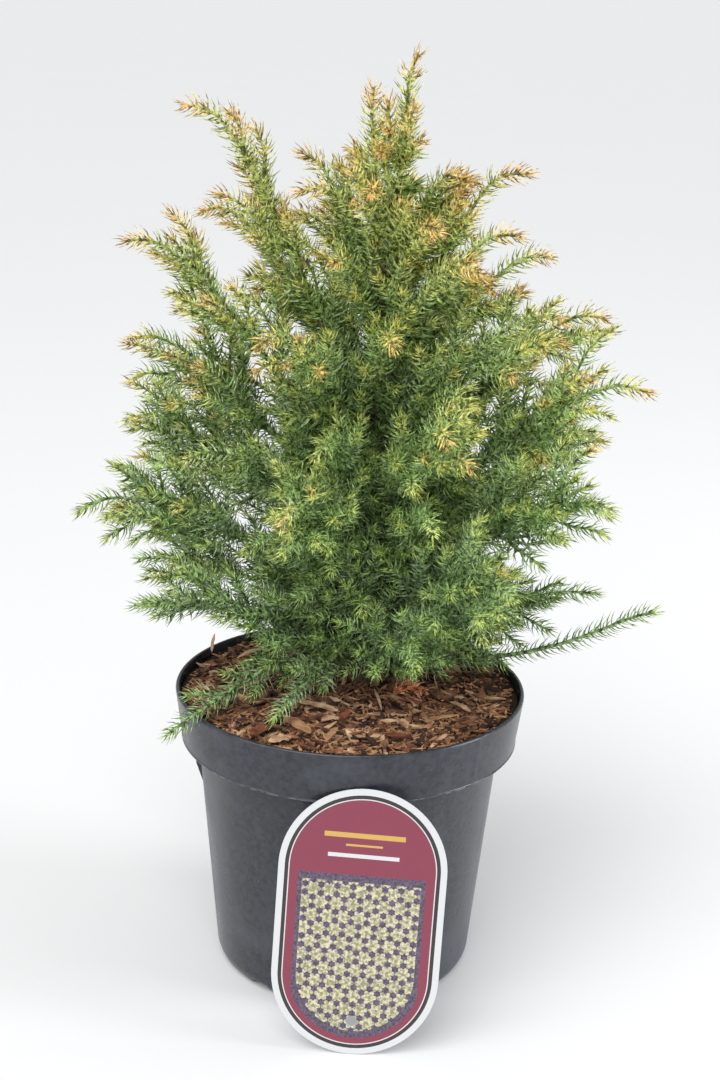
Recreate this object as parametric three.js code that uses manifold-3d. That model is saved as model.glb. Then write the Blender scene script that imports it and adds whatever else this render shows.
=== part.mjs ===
// Potted young cryptomeria: a compact, gold-tipped garden conifer in a round nursery pot.
// Millimetres, +Z up. The origin is the centre of the pot's flat underside.
//
// The trunk is whole from the potting mix to the foot of the leading shoot. Each branch follows one
// curved line from the trunk to its tip: the first part of a long branch is a bare bough, and the rest
// is a mass of foliage, whose stem carries side shoots by a seeded rule. Every shoot is a slim core
// that toothed needles stand out of.

import * as THREE from 'three';
import Module from 'manifold-3d';
import { mergeVertices } from 'three/addons/utils/BufferGeometryUtils.js';

const wasm = await Module();
wasm.setup();

// ---- Driving dimensions -------------------------------------------------------------------------

const GAP = 0.3; // clearance between neighbouring solids
const TWIG_GAP = 0.8; // the same between twigs, measured between their round stand-ins

const POT = {
  height: 145,
  rimRadius: 86.4,
  bandFootRadius: 83.1, // the rim band narrows downwards to this
  bandFootHeight: 119.3,
  bodyTopRadius: 75.2,
  bodyFootRadius: 64.5,
  standRadius: 59, // edge of the flat underside
  footHeight: 5.5, // the body rounds in to the underside below this
  footInset: 1.9, // middle of that round, inside the body's foot
  footRise: 1.6, // its height above the underside
  lip: 0.7, // chamfer round the rim
  wall: 1.8,
  floor: 2.2,
  sides: 40,
  ribs: 4, // stacking ribs under the band
  ribFirst: 7, // heading of the first rib, degrees
  ribHeight: 31,
  ribDepth: 2.6,
  ribWidth: 2.4,
  ribBend: 0.45, // where a rib turns in to the body, as a share of its height above its foot
  ribBendDepth: 0.7, // how far it stands out there, as a share of its depth
  drains: 5, // drain notches round the foot
  drainFirst: 233, // heading of the first notch, degrees
  drainWidth: 9,
  drainHeight: 4,
  drainDepth: 8,
};

const MIX = {
  top: 141,
  relief: 1.5, // height of the lumps in the mulch
  lumpWidth: 33, // spacing of the lumps along X
  lumpDepth: 27, // and along Y
  swellWidth: 90, // spacing of the broad swells below them
  swellDepth: 57,
  swell: 0.6, // height of the swells as a share of the lumps'
  calmRadius: 18, // level ground round the trunk
  rings: 5,
  sides: 24,
};

const LABEL = {
  width: 78,
  length: 129.5,
  thickness: 0.8,
  centre: 11, // distance of its foot to the right of the pot's axis
  turn: 2, // how far it has rolled on its round foot, degrees
  footFront: 102, // distance of its lower edge in front of the pot's axis
  holeRadius: 2.6,
  holeHeight: 16.4, // of the punched hole, above the lower end
};

const TRUNK = {
  foot: [9, 14],
  bend: [[9, 14, 225], [3, 6, 320]],
  top: [15, 1, 393],
  footRadius: 4.6,
  tipRadius: 1.5,
  flare: 3.4, // extra radius of the root flare
  flareHeight: 6,
  spurs: 5, // low root spurs in the flare
  spurDepth: 0.3, // how far they stand out, as a share of the flare
  taperPower: 0.85, // under 1 the trunk narrows faster near its foot
  sides: 10,
  rings: 16,
  ringPower: 1.6, // over 1 the rings crowd together in the flare
};

// The leading shoot goes on from the trunk's top; its knee is how far it keeps the trunk's direction.
const LEADER = { tip: [17, 0, 448], knee: 26, spread: 24, seed: 7, lastSide: 0.3 };

// Branches that give the crown its outline: height where each leaves the trunk, heading seen from above
// (0 is +X, 90 is +Y), distance of the tip from the plant's axis, height of the tip, sag of the line
// under its chord, length of the side shoots, and the bare share (0 where foliage starts at the trunk).
const OUTLINE = [
  { name: 'second_leader', from: 352, heading: 225, reach: 13, tip: 433, sag: 0.08, spread: 20, bare: 0 },
  { name: 'left_leader', from: 268, heading: 186, reach: 89, tip: 427, sag: -0.18, spread: 38, bare: 0.34 },
  { name: 'left_inner', from: 322, heading: 200, reach: 35, tip: 406, sag: -0.02, spread: 28, bare: 0 },
  { name: 'left_1', from: 282, heading: 158, reach: 95, tip: 375, sag: -0.13, spread: 38, bare: 0 },
  { name: 'left_2', from: 240, heading: 195, reach: 117, tip: 368, sag: -0.12, spread: 42, bare: 0.34 },
  { name: 'left_3', from: 220, heading: 173, reach: 121, tip: 313, sag: -0.12, spread: 46, bare: 0.34 },
  { name: 'left_4', from: 200, heading: 157, reach: 142, tip: 262, sag: -0.1, spread: 50, bare: 0.34 },
  { name: 'left_5', from: 190, heading: 187, reach: 144, tip: 234, sag: -0.12, spread: 46, bare: 0.34 },
  { name: 'left_6', from: 170, heading: 158, reach: 136, tip: 184, sag: -0.1, spread: 44, bare: 0.34 },
  { name: 'left_7', from: 164, heading: 200, reach: 112, tip: 192, sag: -0.04, spread: 40, bare: 0.34 },
  { name: 'over_rim', from: 172, heading: 220, reach: 119, tip: 140, sag: -0.1, spread: 20, bare: 0.34 },
  { name: 'right_inner', from: 340, heading: 342, reach: 34, tip: 397, sag: -0.04, spread: 26, bare: 0 },
  { name: 'right_1', from: 306, heading: 352, reach: 58, tip: 403, sag: -0.04, spread: 30, bare: 0 },
  { name: 'right_2', from: 296, heading: 326, reach: 68, tip: 378, sag: -0.1, spread: 34, bare: 0 },
  { name: 'right_3', from: 276, heading: 28, reach: 88, tip: 356, sag: -0.12, spread: 38, bare: 0 },
  { name: 'right_4', from: 256, heading: 326, reach: 95, tip: 344, sag: -0.1, spread: 40, bare: 0 },
  { name: 'right_5', from: 236, heading: 12, reach: 107, tip: 331, sag: -0.14, spread: 44, bare: 0.34 },
  { name: 'right_6', from: 212, heading: 345, reach: 127, tip: 308, sag: -0.14, spread: 46, bare: 0.34 },
  { name: 'right_7', from: 196, heading: 30, reach: 133, tip: 272, sag: -0.12, spread: 48, bare: 0.34 },
  { name: 'right_8', from: 190, heading: 332, reach: 121, tip: 256, sag: -0.1, spread: 48, bare: 0.34 },
  { name: 'low_front', from: 166, heading: 241, reach: 86, tip: 150, sag: -0.12, spread: 24, bare: 0 },
  { name: 'low_right', from: 160, heading: 356, reach: 138, tip: 190, sag: 0.2, spread: 16, bare: 0 },
  { name: 'right_9', from: 166, heading: 12, reach: 116, tip: 186, sag: -0.06, spread: 36, bare: 0 },
];

// Branches towards the front and the back: height of the tip and heading of each. Their reach follows
// the crown's profile, which gives the distance from the plant's axis for a height.
const CROWN = {
  front: [[398, 262], [366, 306], [334, 238], [300, 288], [264, 252], [226, 304], [190, 284]],
  back: [[390, 82], [356, 128], [322, 54], [286, 104], [250, 70], [212, 122], [174, 64]],
  profile: [[150, 76], [180, 92], [220, 108], [262, 114], [300, 106], [340, 84], [380, 58], [420, 30]],
  depth: 1.05, // reach of these branches as a share of the profile
  sag: -0.12,
  spread: 46,
  spreadTaper: 0.4, // how much shorter the side shoots are at the top
  rise: 0.35, // height of a low branch's tip above its root, as a share of its reach
  topRise: 0.7, // added to that towards the top, where branches are steeper
  lowest: 138, // no branch leaves the trunk lower than this and a tenth of its tip's height
  boughFrom: 104, // a branch that reaches further has a bare bough
};

const BRANCH_SEED = { first: 101, step: 17 };

const BOUGH = {
  bare: 0.34,
  thickness: 0.03, // gain in radius from tip to root, as a share of the bough's length
  tipRadius: 1.5,
  sides: 6,
  rings: 5,
};

const SHOOT = {
  sideStep: 12, // distance between side shoots along a stem
  solidEvery: 2, // one in this many is made solid
  firstSide: 0.08, // where along the stem the first and last of them stand
  lastSide: 0.66,
  scatter: 0.5, // how far a side shoot's root strays, as a share of the step
  lean: 40, // angle from the stem to a side shoot, degrees
  ahead: 0.7, // how much a side shoot turns along the stem, and up, on its way to its tip
  up: 0.15,
  shortest: 14,
  taper: 0.45, // how much shorter the side shoots are at the stem's tip
  leastLength: 0.8, // a side shoot's length varies from this share of its rule
  lengthRange: 0.4, // by up to this
  stemRadius: 2,
  sideRadius: 1.7,
  tipRadius: 0.9,
  tipLength: 4, // bare end beyond the last whorl
  whorlStep: 19, // distance between whorls of needles
  whorlLength: 3.6,
  needleLength: 10.5,
  needleLean: 54, // angle from the shoot to a needle, degrees
};

// Round rods stand in for twigs and needles where their clearance is worked out.
const ROD = {
  rib: 0.7, // radius round a needle's middle
  edge: 0.3, // and round its edges
  shootSteps: 5, // rods along a shoot
  trunkSteps: 24,
  rimClearance: 1, // from the pot's rim
};

const FRAME_STEPS = 40; // places along a shoot where its cross directions are worked out

// ---- Small helpers ------------------------------------------------------------------------------

const UP = new THREE.Vector3(0, 0, 1);
const GOLDEN_ANGLE = Math.PI * (3 - Math.sqrt(5));
const radians = THREE.MathUtils.degToRad;
const smooth = THREE.MathUtils.smoothstep;
const vec = (x, y, z) => new THREE.Vector3(x, y, z);

/** A repeatable stream of numbers from 0 to 1. */
function seeded(seed) {
  let state = seed >>> 0;
  return () => {
    state = (state + 0x6d2b79f5) >>> 0;
    let t = state;
    t = Math.imul(t ^ (t >>> 15), t | 1);
    t ^= t + Math.imul(t ^ (t >>> 7), t | 61);
    return ((t ^ (t >>> 14)) >>> 0) / 4294967296;
  };
}

/** Straight-line reading of a table of [input, output] pairs. */
function readTable(table, input) {
  const next = table.findIndex(([key]) => key >= input);
  if (next === 0) return table[0][1];
  if (next < 0) return table.at(-1)[1];
  const [[k0, v0], [k1, v1]] = [table[next - 1], table[next]];
  return v0 + ((v1 - v0) * (input - k0)) / (k1 - k0);
}

/** Unit vector that points along a heading, seen from above. */
function along(heading) {
  return vec(Math.cos(radians(heading)), Math.sin(radians(heading)), 0);
}

function surface(colour, roughness) {
  return new THREE.MeshStandardMaterial({ color: colour, roughness, metalness: 0, flatShading: true });
}

function indexed(points, faces) {
  const geometry = new THREE.BufferGeometry();
  geometry.setAttribute('position', new THREE.Float32BufferAttribute(points, 3));
  geometry.setIndex(faces);
  return geometry;
}

// ---- Joining and cutting ------------------------------------------------------------------------

function toSolid(geometry) {
  const bare = geometry.clone();
  bare.deleteAttribute('normal');
  bare.deleteAttribute('uv');
  const merged = mergeVertices(bare, 1e-4);
  return new wasm.Manifold(new wasm.Mesh({
    numProp: 3,
    vertProperties: new Float32Array(merged.attributes.position.array),
    triVerts: new Uint32Array(merged.index.array),
  }));
}

function fromSolid(solid) {
  const { vertProperties, triVerts } = solid.getMesh();
  return indexed(Array.from(vertProperties), Array.from(triVerts));
}

/** Joins overlapping solids and keeps the largest body. */
function fuse(geometries) {
  const whole = geometries.map(toSolid).reduce((a, b) => a.add(b));
  const bodies = whole.decompose().sort((a, b) => b.volume() - a.volume());
  return fromSolid(bodies[0]);
}

// ---- Pot, potting mix and label -----------------------------------------------------------------

/** Inner radius of the pot's body or band at a height. */
function potInside(z) {
  const shelf = POT.bandFootHeight + POT.wall;
  const line = z < shelf
    ? [[POT.footHeight, POT.bodyFootRadius], [POT.bandFootHeight, POT.bodyTopRadius]]
    : [[POT.bandFootHeight, POT.bandFootRadius], [POT.height, POT.rimRadius]];
  return readTable(line, z) - POT.wall;
}

function potShell() {
  const shelf = POT.bandFootHeight + POT.wall;
  const edge = POT.height - POT.lip;
  const profile = [
    [0, 0],
    [POT.standRadius, 0],
    [POT.bodyFootRadius - POT.footInset, POT.footRise],
    [POT.bodyFootRadius, POT.footHeight],
    [POT.bodyTopRadius, POT.bandFootHeight],
    [POT.bandFootRadius, POT.bandFootHeight],
    [POT.rimRadius, edge],
    [POT.rimRadius - POT.lip, POT.height],
    [potInside(POT.height), edge],
    [potInside(shelf), shelf],
    [POT.bodyTopRadius - POT.wall, shelf],
    [potInside(POT.footHeight), POT.footHeight],
    [POT.standRadius, POT.floor],
    [0, POT.floor],
  ].map(([r, z]) => new THREE.Vector2(r, z));
  return new THREE.LatheGeometry(profile, POT.sides).rotateX(Math.PI / 2);
}

/** A rib that stands out under the band and runs out into the body below. */
function potRib(heading) {
  const top = POT.bandFootHeight + POT.wall / 2;
  const foot = POT.bandFootHeight - POT.ribHeight;
  const body = POT.bodyTopRadius - POT.wall / 2;
  const outline = new THREE.Shape([
    new THREE.Vector2(body, top),
    new THREE.Vector2(body + POT.ribDepth, top),
    new THREE.Vector2(body + POT.ribDepth * POT.ribBendDepth, foot + POT.ribHeight * POT.ribBend),
    new THREE.Vector2(potInside(foot) + POT.wall / 2, foot),
  ]);
  const rib = new THREE.ExtrudeGeometry(outline, { depth: POT.ribWidth, bevelEnabled: false });
  rib.translate(0, 0, -POT.ribWidth / 2);
  return rib.rotateX(Math.PI / 2).rotateZ(radians(heading));
}

function drainNotch(heading) {
  const notch = new THREE.BoxGeometry(2 * POT.drainDepth, POT.drainWidth, 2 * POT.drainHeight);
  notch.translate(POT.bodyFootRadius, 0, 0);
  return notch.rotateZ(radians(heading));
}

function makePot() {
  let pot = toSolid(potShell());
  for (let i = 0; i < POT.ribs; i++) {
    pot = pot.add(toSolid(potRib(POT.ribFirst + (360 / POT.ribs) * i)));
  }
  for (let i = 0; i < POT.drains; i++) {
    pot = pot.subtract(toSolid(drainNotch(POT.drainFirst + (360 / POT.drains) * i)));
  }
  return fromSolid(pot);
}

/** Height of the mulch: level at the trunk, lumpy further out. */
function mulchHeight(x, y) {
  const away = Math.hypot(x - TRUNK.foot[0], y - TRUNK.foot[1]);
  const turn = 2 * Math.PI;
  const lumps = Math.sin((turn * x) / MIX.lumpWidth) * Math.cos((turn * y) / MIX.lumpDepth);
  const swells = Math.sin((turn * x) / MIX.swellWidth - (turn * y) / MIX.swellDepth);
  const height = (lumps + MIX.swell * swells) / (1 + MIX.swell);
  return MIX.top + MIX.relief * height * smooth(away, MIX.calmRadius, 2 * MIX.calmRadius);
}

function makeMix() {
  const shelf = POT.bandFootHeight + POT.wall + GAP;
  const wall = [
    [POT.standRadius - GAP, POT.floor + GAP],
    [potInside(POT.footHeight) - 2 * GAP, POT.footHeight + GAP],
    [POT.bodyTopRadius - POT.wall - 2 * GAP, shelf],
    [potInside(shelf) - 2 * GAP, shelf],
  ];
  const edge = potInside(MIX.top) - 2 * GAP;
  const points = [0, 0, wall[0][1]];
  const faces = [];
  const ringAt = (radius, height) => {
    for (let i = 0; i < MIX.sides; i++) {
      const angle = (2 * Math.PI * i) / MIX.sides;
      const [x, y] = [radius * Math.cos(angle), radius * Math.sin(angle)];
      points.push(x, y, height ?? mulchHeight(x, y));
    }
  };
  wall.forEach(([radius, height]) => ringAt(radius, height));
  for (let ring = MIX.rings; ring > 0; ring--) ringAt((edge * ring) / MIX.rings);
  const rings = wall.length + MIX.rings;
  const last = 1 + rings * MIX.sides;
  points.push(0, 0, mulchHeight(0, 0));
  for (let i = 0; i < MIX.sides; i++) {
    const j = (i + 1) % MIX.sides;
    faces.push(0, 1 + j, 1 + i);
    for (let ring = 0; ring < rings - 1; ring++) {
      const [low, high] = [1 + ring * MIX.sides, 1 + (ring + 1) * MIX.sides];
      faces.push(low + i, low + j, high + j, low + i, high + j, high + i);
    }
    faces.push(last - MIX.sides + i, last - MIX.sides + j, last);
  }
  return indexed(points, faces);
}

/** The label leans on the rim band: a plate with round ends and a punched hole near its foot. */
function makeLabel() {
  const radius = LABEL.width / 2;
  const outline = new THREE.Shape();
  outline.absarc(0, radius, radius, Math.PI, 2 * Math.PI);
  outline.absarc(0, LABEL.length - radius, radius, 0, Math.PI);
  const hole = new THREE.Path();
  hole.absarc(0, LABEL.holeHeight, LABEL.holeRadius, 0, 2 * Math.PI, true);
  outline.holes.push(hole);
  const options = { depth: LABEL.thickness, bevelEnabled: false, curveSegments: 12 };
  const card = new THREE.ExtrudeGeometry(outline, options).translate(0, -radius, 0);
  return card.rotateZ(-radians(LABEL.turn)).translate(0, radius, 0);
}

/** Lean at which the label's upper end rests on the rim band, found in a few rounds. */
function labelLean() {
  const rounds = 8;
  let lean = 0;
  for (let i = 0; i < rounds; i++) {
    const top = LABEL.length * Math.cos(lean);
    const band = potInside(top) + POT.wall;
    const rest = Math.sqrt(band ** 2 - LABEL.centre ** 2) + GAP;
    lean = Math.asin((LABEL.footFront - rest - LABEL.thickness) / LABEL.length);
  }
  return lean;
}

// ---- Limbs --------------------------------------------------------------------------------------

/** Quadratic curve between two of its parameters, as a curve of its own. */
function cutCurve(curve, start, end) {
  const at = (t) => curve.getPoint(t);
  const middle = (s, e) => {
    const a = curve.v0.clone().lerp(curve.v1, s);
    const b = curve.v1.clone().lerp(curve.v2, s);
    return a.lerp(b, e);
  };
  return new THREE.QuadraticBezierCurve3(at(start), middle(start, end), at(end));
}

/** Closed tapering tube with flat ends, square to its line. */
function limb(path, radiusAt, sides, rings) {
  const frames = path.computeFrenetFrames(rings, false);
  const points = [];
  const faces = [];
  for (let ring = 0; ring <= rings; ring++) {
    const centre = path.getPointAt(ring / rings);
    for (let i = 0; i < sides; i++) {
      const angle = (2 * Math.PI * i) / sides;
      const point = centre.clone()
        .addScaledVector(frames.normals[ring], radiusAt(ring / rings, angle) * Math.cos(angle))
        .addScaledVector(frames.binormals[ring], radiusAt(ring / rings, angle) * Math.sin(angle));
      points.push(...point);
    }
  }
  for (let i = 0; i < sides; i++) {
    const j = (i + 1) % sides;
    for (let ring = 0; ring < rings; ring++) {
      const [a, b] = [ring * sides, (ring + 1) * sides];
      faces.push(a + i, a + j, b + j, a + i, b + j, b + i);
    }
    if (i > 1) {
      faces.push(0, i, i - 1);
      faces.push(rings * sides, rings * sides + i - 1, rings * sides + i);
    }
  }
  return indexed(points, faces);
}

const trunkPath = new THREE.CubicBezierCurve3(
  vec(...TRUNK.foot, MIX.top + GAP), vec(...TRUNK.bend[0]), vec(...TRUNK.bend[1]), vec(...TRUNK.top),
);

/** Radius of the trunk; low root spurs widen its foot and fade within a few flare heights. */
function trunkRadius(t, angle) {
  const rise = t * trunkPath.getLength();
  const spurs = 1 + TRUNK.spurDepth * Math.cos(TRUNK.spurs * angle);
  const taper = TRUNK.footRadius + (TRUNK.tipRadius - TRUNK.footRadius) * t ** TRUNK.taperPower;
  return taper + TRUNK.flare * spurs * Math.exp(-rise / TRUNK.flareHeight);
}

/** Rings stand close together in the flare and further apart above it. */
class FlaredPath extends THREE.Curve {
  getPoint(t) {
    return trunkPath.getPointAt(t ** TRUNK.ringPower);
  }

  getPointAt(t) {
    return this.getPoint(t);
  }

  getTangentAt(t) {
    return trunkPath.getTangentAt(t ** TRUNK.ringPower);
  }
}

function makeTrunk() {
  const radiusAt = (t, angle) => trunkRadius(t ** TRUNK.ringPower, angle);
  return limb(new FlaredPath(), radiusAt, TRUNK.sides, TRUNK.rings);
}

/** Trunk's centre and radius at a height, found by halving. */
function trunkAt(height) {
  const halvings = 20;
  let [low, high] = [0, 1];
  for (let i = 0; i < halvings; i++) {
    const t = (low + high) / 2;
    if (trunkPath.getPointAt(t).z < height) low = t;
    else high = t;
  }
  return { centre: trunkPath.getPointAt(low), radius: trunkRadius(low, 0) };
}

// ---- Branch lines -------------------------------------------------------------------------------

function tierBranches() {
  return ['front', 'back'].flatMap((side) => CROWN[side].map(([tip, heading], i) => {
    const reach = readTable(CROWN.profile, tip) * CROWN.depth;
    const height = (tip - MIX.top) / (LEADER.tip[2] - MIX.top);
    return {
      name: `${side}_${i + 1}`,
      from: Math.max(CROWN.lowest + tip / 10, tip - reach * (CROWN.rise + CROWN.topRise * height)),
      heading,
      reach,
      tip,
      sag: CROWN.sag,
      spread: CROWN.spread * (1 - CROWN.spreadTaper * height),
      bare: reach > CROWN.boughFrom ? BOUGH.bare : 0,
    };
  }));
}

/** Radius of a branch's line where it leaves the trunk. */
function rootRadius({ bare, reach }) {
  return bare > 0 ? BOUGH.tipRadius + BOUGH.thickness * bare * reach : SHOOT.stemRadius;
}

/** The branch's line, from just clear of the trunk to its tip. */
function branchLine(branch) {
  const { centre, radius } = trunkAt(branch.from);
  const tip = vec(...TRUNK.foot, 0).addScaledVector(along(branch.heading), branch.reach);
  tip.z = branch.tip;
  const lift = vec(0, 0, -branch.sag * tip.distanceTo(centre));
  const knee = centre.clone().lerp(tip, 0.5).add(lift);
  const steepness = Math.abs(knee.clone().sub(centre).normalize().z);
  const out = tip.clone().sub(centre).setZ(0).normalize();
  const start = centre.clone().addScaledVector(out, radius + GAP + rootRadius(branch) * steepness);
  return new THREE.QuadraticBezierCurve3(start, knee, tip);
}

// ---- Space taken --------------------------------------------------------------------------------

const taken = [];

/** Shortest distance between two straight segments. */
function segmentDistance(p, q) {
  const [d1, d2] = [p.b.clone().sub(p.a), q.b.clone().sub(q.a)];
  const r = p.a.clone().sub(q.a);
  const [a, e, f] = [d1.lengthSq(), d2.lengthSq(), d2.dot(r)];
  const [c, b] = [d1.dot(r), d1.dot(d2)];
  const denominator = a * e - b * b;
  const clamp = (x) => Math.min(1, Math.max(0, x));
  let s = denominator > 1e-9 ? clamp((b * f - c * e) / denominator) : 0;
  let t = (b * s + f) / e;
  if (t < 0 || t > 1) {
    t = clamp(t);
    s = clamp((b * t - c) / a);
  }
  return p.a.clone().addScaledVector(d1, s).distanceTo(q.a.clone().addScaledVector(d2, t));
}

/** Notes the rods that a piece takes up, with the ball that holds them all. */
function reserve(owner, rods) {
  const box = new THREE.Box3().setFromPoints(rods.flatMap(({ a, b }) => [a, b]));
  const ball = box.getBoundingSphere(new THREE.Sphere());
  const thickest = Math.max(...rods.map(({ r }) => r));
  taken.push({ owner, rods, centre: ball.center, radius: ball.radius + thickest });
}

function isApart(rod, others) {
  return others.every((other) => segmentDistance(rod, other) > rod.r + other.r + TWIG_GAP);
}

/** Whether a rod keeps clear of every piece but its own. */
function isFree(rod, owner) {
  const middle = rod.a.clone().add(rod.b).multiplyScalar(0.5);
  const half = rod.a.distanceTo(rod.b) / 2 + rod.r + TWIG_GAP;
  return taken.every((other) => other.owner === owner || middle.distanceTo(other.centre) > half + other.radius
    || isApart(rod, other.rods));
}

/** Whether a rod keeps clear of the mulch and the pot's rim. */
function isOffPot(rod) {
  for (let i = 0; i <= 4; i++) {
    const point = rod.a.clone().lerp(rod.b, i / 4);
    const radius = Math.hypot(point.x, point.y);
    const margin = ROD.rimClearance + rod.r;
    const floor = radius < potInside(POT.height) - margin ? MIX.top + MIX.relief : POT.height;
    const outside = radius > POT.rimRadius + margin;
    if (!outside && point.z < floor + rod.r + GAP) return false;
  }
  return true;
}

function limbRods(path, radiusAt, steps) {
  return Array.from({ length: steps }, (_, i) => ({
    a: path.getPointAt(i / steps),
    b: path.getPointAt((i + 1) / steps),
    r: radiusAt(i / steps),
  }));
}

// ---- Shoots -------------------------------------------------------------------------------------

/** Lines of the side shoots, dealt round a stem by the golden angle and shorter towards its tip. */
function sideShoots({ stem, spread, seed, lastSide = SHOOT.lastSide }) {
  const draw = seeded(seed);
  const count = Math.max(3, Math.round(stem.getLength() / SHOOT.sideStep));
  const phase = draw() * 2 * Math.PI;
  const frames = stem.computeFrenetFrames(count, false);
  const sides = [];
  for (let i = 0; i < count; i++) {
    const place = (i + draw() * SHOOT.scatter) / count;
    const share = SHOOT.firstSide + (lastSide - SHOOT.firstSide) * place;
    const turn = phase + i * GOLDEN_ANGLE;
    const rule = spread * (1 - SHOOT.taper * share);
    const length = rule * (SHOOT.leastLength + SHOOT.lengthRange * draw());
    if (length < SHOOT.shortest) continue;
    const ahead = stem.getTangentAt(share);
    const aside = frames.normals[i].clone().multiplyScalar(Math.cos(turn))
      .addScaledVector(frames.binormals[i], Math.sin(turn));
    const lean = radians(SHOOT.lean);
    const leave = ahead.clone().multiplyScalar(Math.cos(lean)).addScaledVector(aside, Math.sin(lean));
    const arrive = leave.clone().addScaledVector(ahead, SHOOT.ahead).addScaledVector(UP, SHOOT.up);
    arrive.normalize();
    const root = stem.getPointAt(share);
    const knee = root.clone().addScaledVector(leave, length / 2);
    const tip = knee.clone().addScaledVector(arrive, length / 2);
    sides.push(new THREE.QuadraticBezierCurve3(root, knee, tip));
  }
  return sides.filter((_, i) => i % SHOOT.solidEvery === 0);
}

/** Where the rings of a core stand: its root, then the two rings of each whorl of needles. */
function ringPlaces(length) {
  const whorls = Math.max(1, Math.round(length / SHOOT.whorlStep));
  const places = [0];
  for (let i = 0; i < whorls; i++) {
    const end = 1 - (SHOOT.tipLength + ((whorls - 1 - i) * (length - SHOOT.tipLength)) / whorls) / length;
    places.push(end - SHOOT.whorlLength / length, end);
  }
  return places;
}

/** Slim three-sided core whose rings turn by a sixth, with six needles on the faces of each whorl. */
function shootSolid(path, rootRadius, owner, neighbours) {
  const places = ringPlaces(path.getLength());
  const frames = path.computeFrenetFrames(FRAME_STEPS, false);
  // One corner of the root points up, which on a rising stem is back to the trunk.
  const twist = Math.atan2(UP.dot(frames.binormals[0]), UP.dot(frames.normals[0]));
  const corners = [];
  places.forEach((place, ring) => {
    const centre = path.getPointAt(place);
    const frame = Math.round(place * FRAME_STEPS);
    const radius = THREE.MathUtils.lerp(rootRadius, SHOOT.tipRadius, place);
    for (let i = 0; i < 3; i++) {
      const angle = twist + ((2 * i + (ring % 2)) * Math.PI) / 3;
      corners.push(centre.clone()
        .addScaledVector(frames.normals[frame], radius * Math.cos(angle))
        .addScaledVector(frames.binormals[frame], radius * Math.sin(angle)));
    }
  });
  const faces = [[0, 2, 1]];
  const rods = [];
  const lean = radians(SHOOT.needleLean);
  const hasRoom = (rod) => isOffPot(rod) && isFree(rod, owner) && isApart(rod, neighbours);

  const needle = (face, place) => {
    const base = face.map((i) => corners[i]);
    const foot = base[0].clone().add(base[1]).add(base[2]).multiplyScalar(1 / 3);
    const ahead = path.getTangentAt(place);
    const out = foot.clone().sub(path.getPointAt(place));
    out.addScaledVector(ahead, -out.dot(ahead)).normalize();
    const tip = foot.clone()
      .addScaledVector(out, SHOOT.needleLength * Math.sin(lean))
      .addScaledVector(ahead, SHOOT.needleLength * Math.cos(lean));
    const edges = base.map((corner) => ({ a: corner, b: tip, r: ROD.edge }));
    const rib = { a: foot, b: tip, r: ROD.rib };
    if (![rib, ...edges].every(hasRoom)) {
      faces.push(face);
      return;
    }
    rods.push(rib, ...edges);
    corners.push(tip);
    const [[a, b, c], t] = [face, corners.length - 1];
    faces.push([a, b, t], [b, c, t], [c, a, t]);
  };

  for (let ring = 0; ring < places.length - 1; ring++) {
    const isWhorl = ring % 2 === 1;
    const place = (places[ring] + places[ring + 1]) / 2;
    for (let i = 0; i < 3; i++) {
      const j = (i + 1) % 3;
      const [low, high] = [3 * ring, 3 * ring + 3];
      const ahead = isWhorl ? high + j : high + i;
      const behind = isWhorl ? high + i : high + ((i + 2) % 3);
      for (const face of [[low + i, low + j, ahead], [low + i, ahead, behind]]) {
        if (isWhorl) needle(face, place);
        else faces.push(face);
      }
    }
  }
  const last = 3 * (places.length - 1);
  corners.push(path.getPointAt(1));
  const end = corners.length - 1;
  for (let i = 0; i < 3; i++) faces.push([last + i, last + ((i + 1) % 3), end]);
  return { geometry: indexed(corners.flatMap((corner) => [...corner]), faces.flat()), rods };
}

function coreRods(path, radius) {
  return limbRods(path, () => radius, ROD.shootSteps);
}

/** A mass of foliage: the shoots that find room, fused to their stem. */
function makeFoliage(mass) {
  const { name, stem } = mass;
  const hasRoom = (path) => coreRods(path, SHOOT.sideRadius)
    .every((rod) => isFree(rod, name) && isOffPot(rod));
  const sides = sideShoots(mass).filter(hasRoom);
  const shoots = [stem, ...sides].map((path, i) => {
    const radius = i === 0 ? SHOOT.stemRadius : SHOOT.sideRadius;
    return { path, radius, core: coreRods(path, radius) };
  });
  const needles = [];
  const solids = shoots.map((shoot) => {
    const otherCores = shoots.filter((other) => other !== shoot).flatMap((other) => other.core);
    const { geometry, rods } = shootSolid(shoot.path, shoot.radius, name, [...otherCores, ...needles]);
    needles.push(...rods);
    return geometry;
  });
  reserve(name, [...needles, ...shoots.flatMap((shoot) => shoot.core)]);
  return fuse(solids);
}

// ---- Assembly -----------------------------------------------------------------------------------

const colours = {
  pot: 0x3f4449,
  mix: 0x5e3a22,
  bark: 0x6b4a30,
  label: 0x8f3f58,
  lowFoliage: new THREE.Color(0x3f6b45),
  topFoliage: new THREE.Color(0xa3a04a),
};

const potted = new THREE.Group();

function add(name, geometry, material, parent = potted) {
  const mesh = new THREE.Mesh(geometry, material);
  mesh.name = name;
  parent.add(mesh);
  return mesh;
}

function foliageMaterial(height) {
  const share = smooth(height, MIX.top, LEADER.tip[2]);
  return surface(colours.lowFoliage.clone().lerp(colours.topFoliage, share), 0.75);
}

add('pot', makePot(), surface(colours.pot, 0.45));
add('potting_mix', makeMix(), surface(colours.mix, 0.95));

const lean = labelLean();
const leaning = new THREE.Group();
leaning.position.set(LABEL.centre, -LABEL.footFront, LABEL.thickness * Math.sin(lean));
leaning.rotation.x = Math.PI / 2 - lean;
potted.add(leaning);
add('plant_label', makeLabel(), surface(colours.label, 0.35), leaning);

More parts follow.
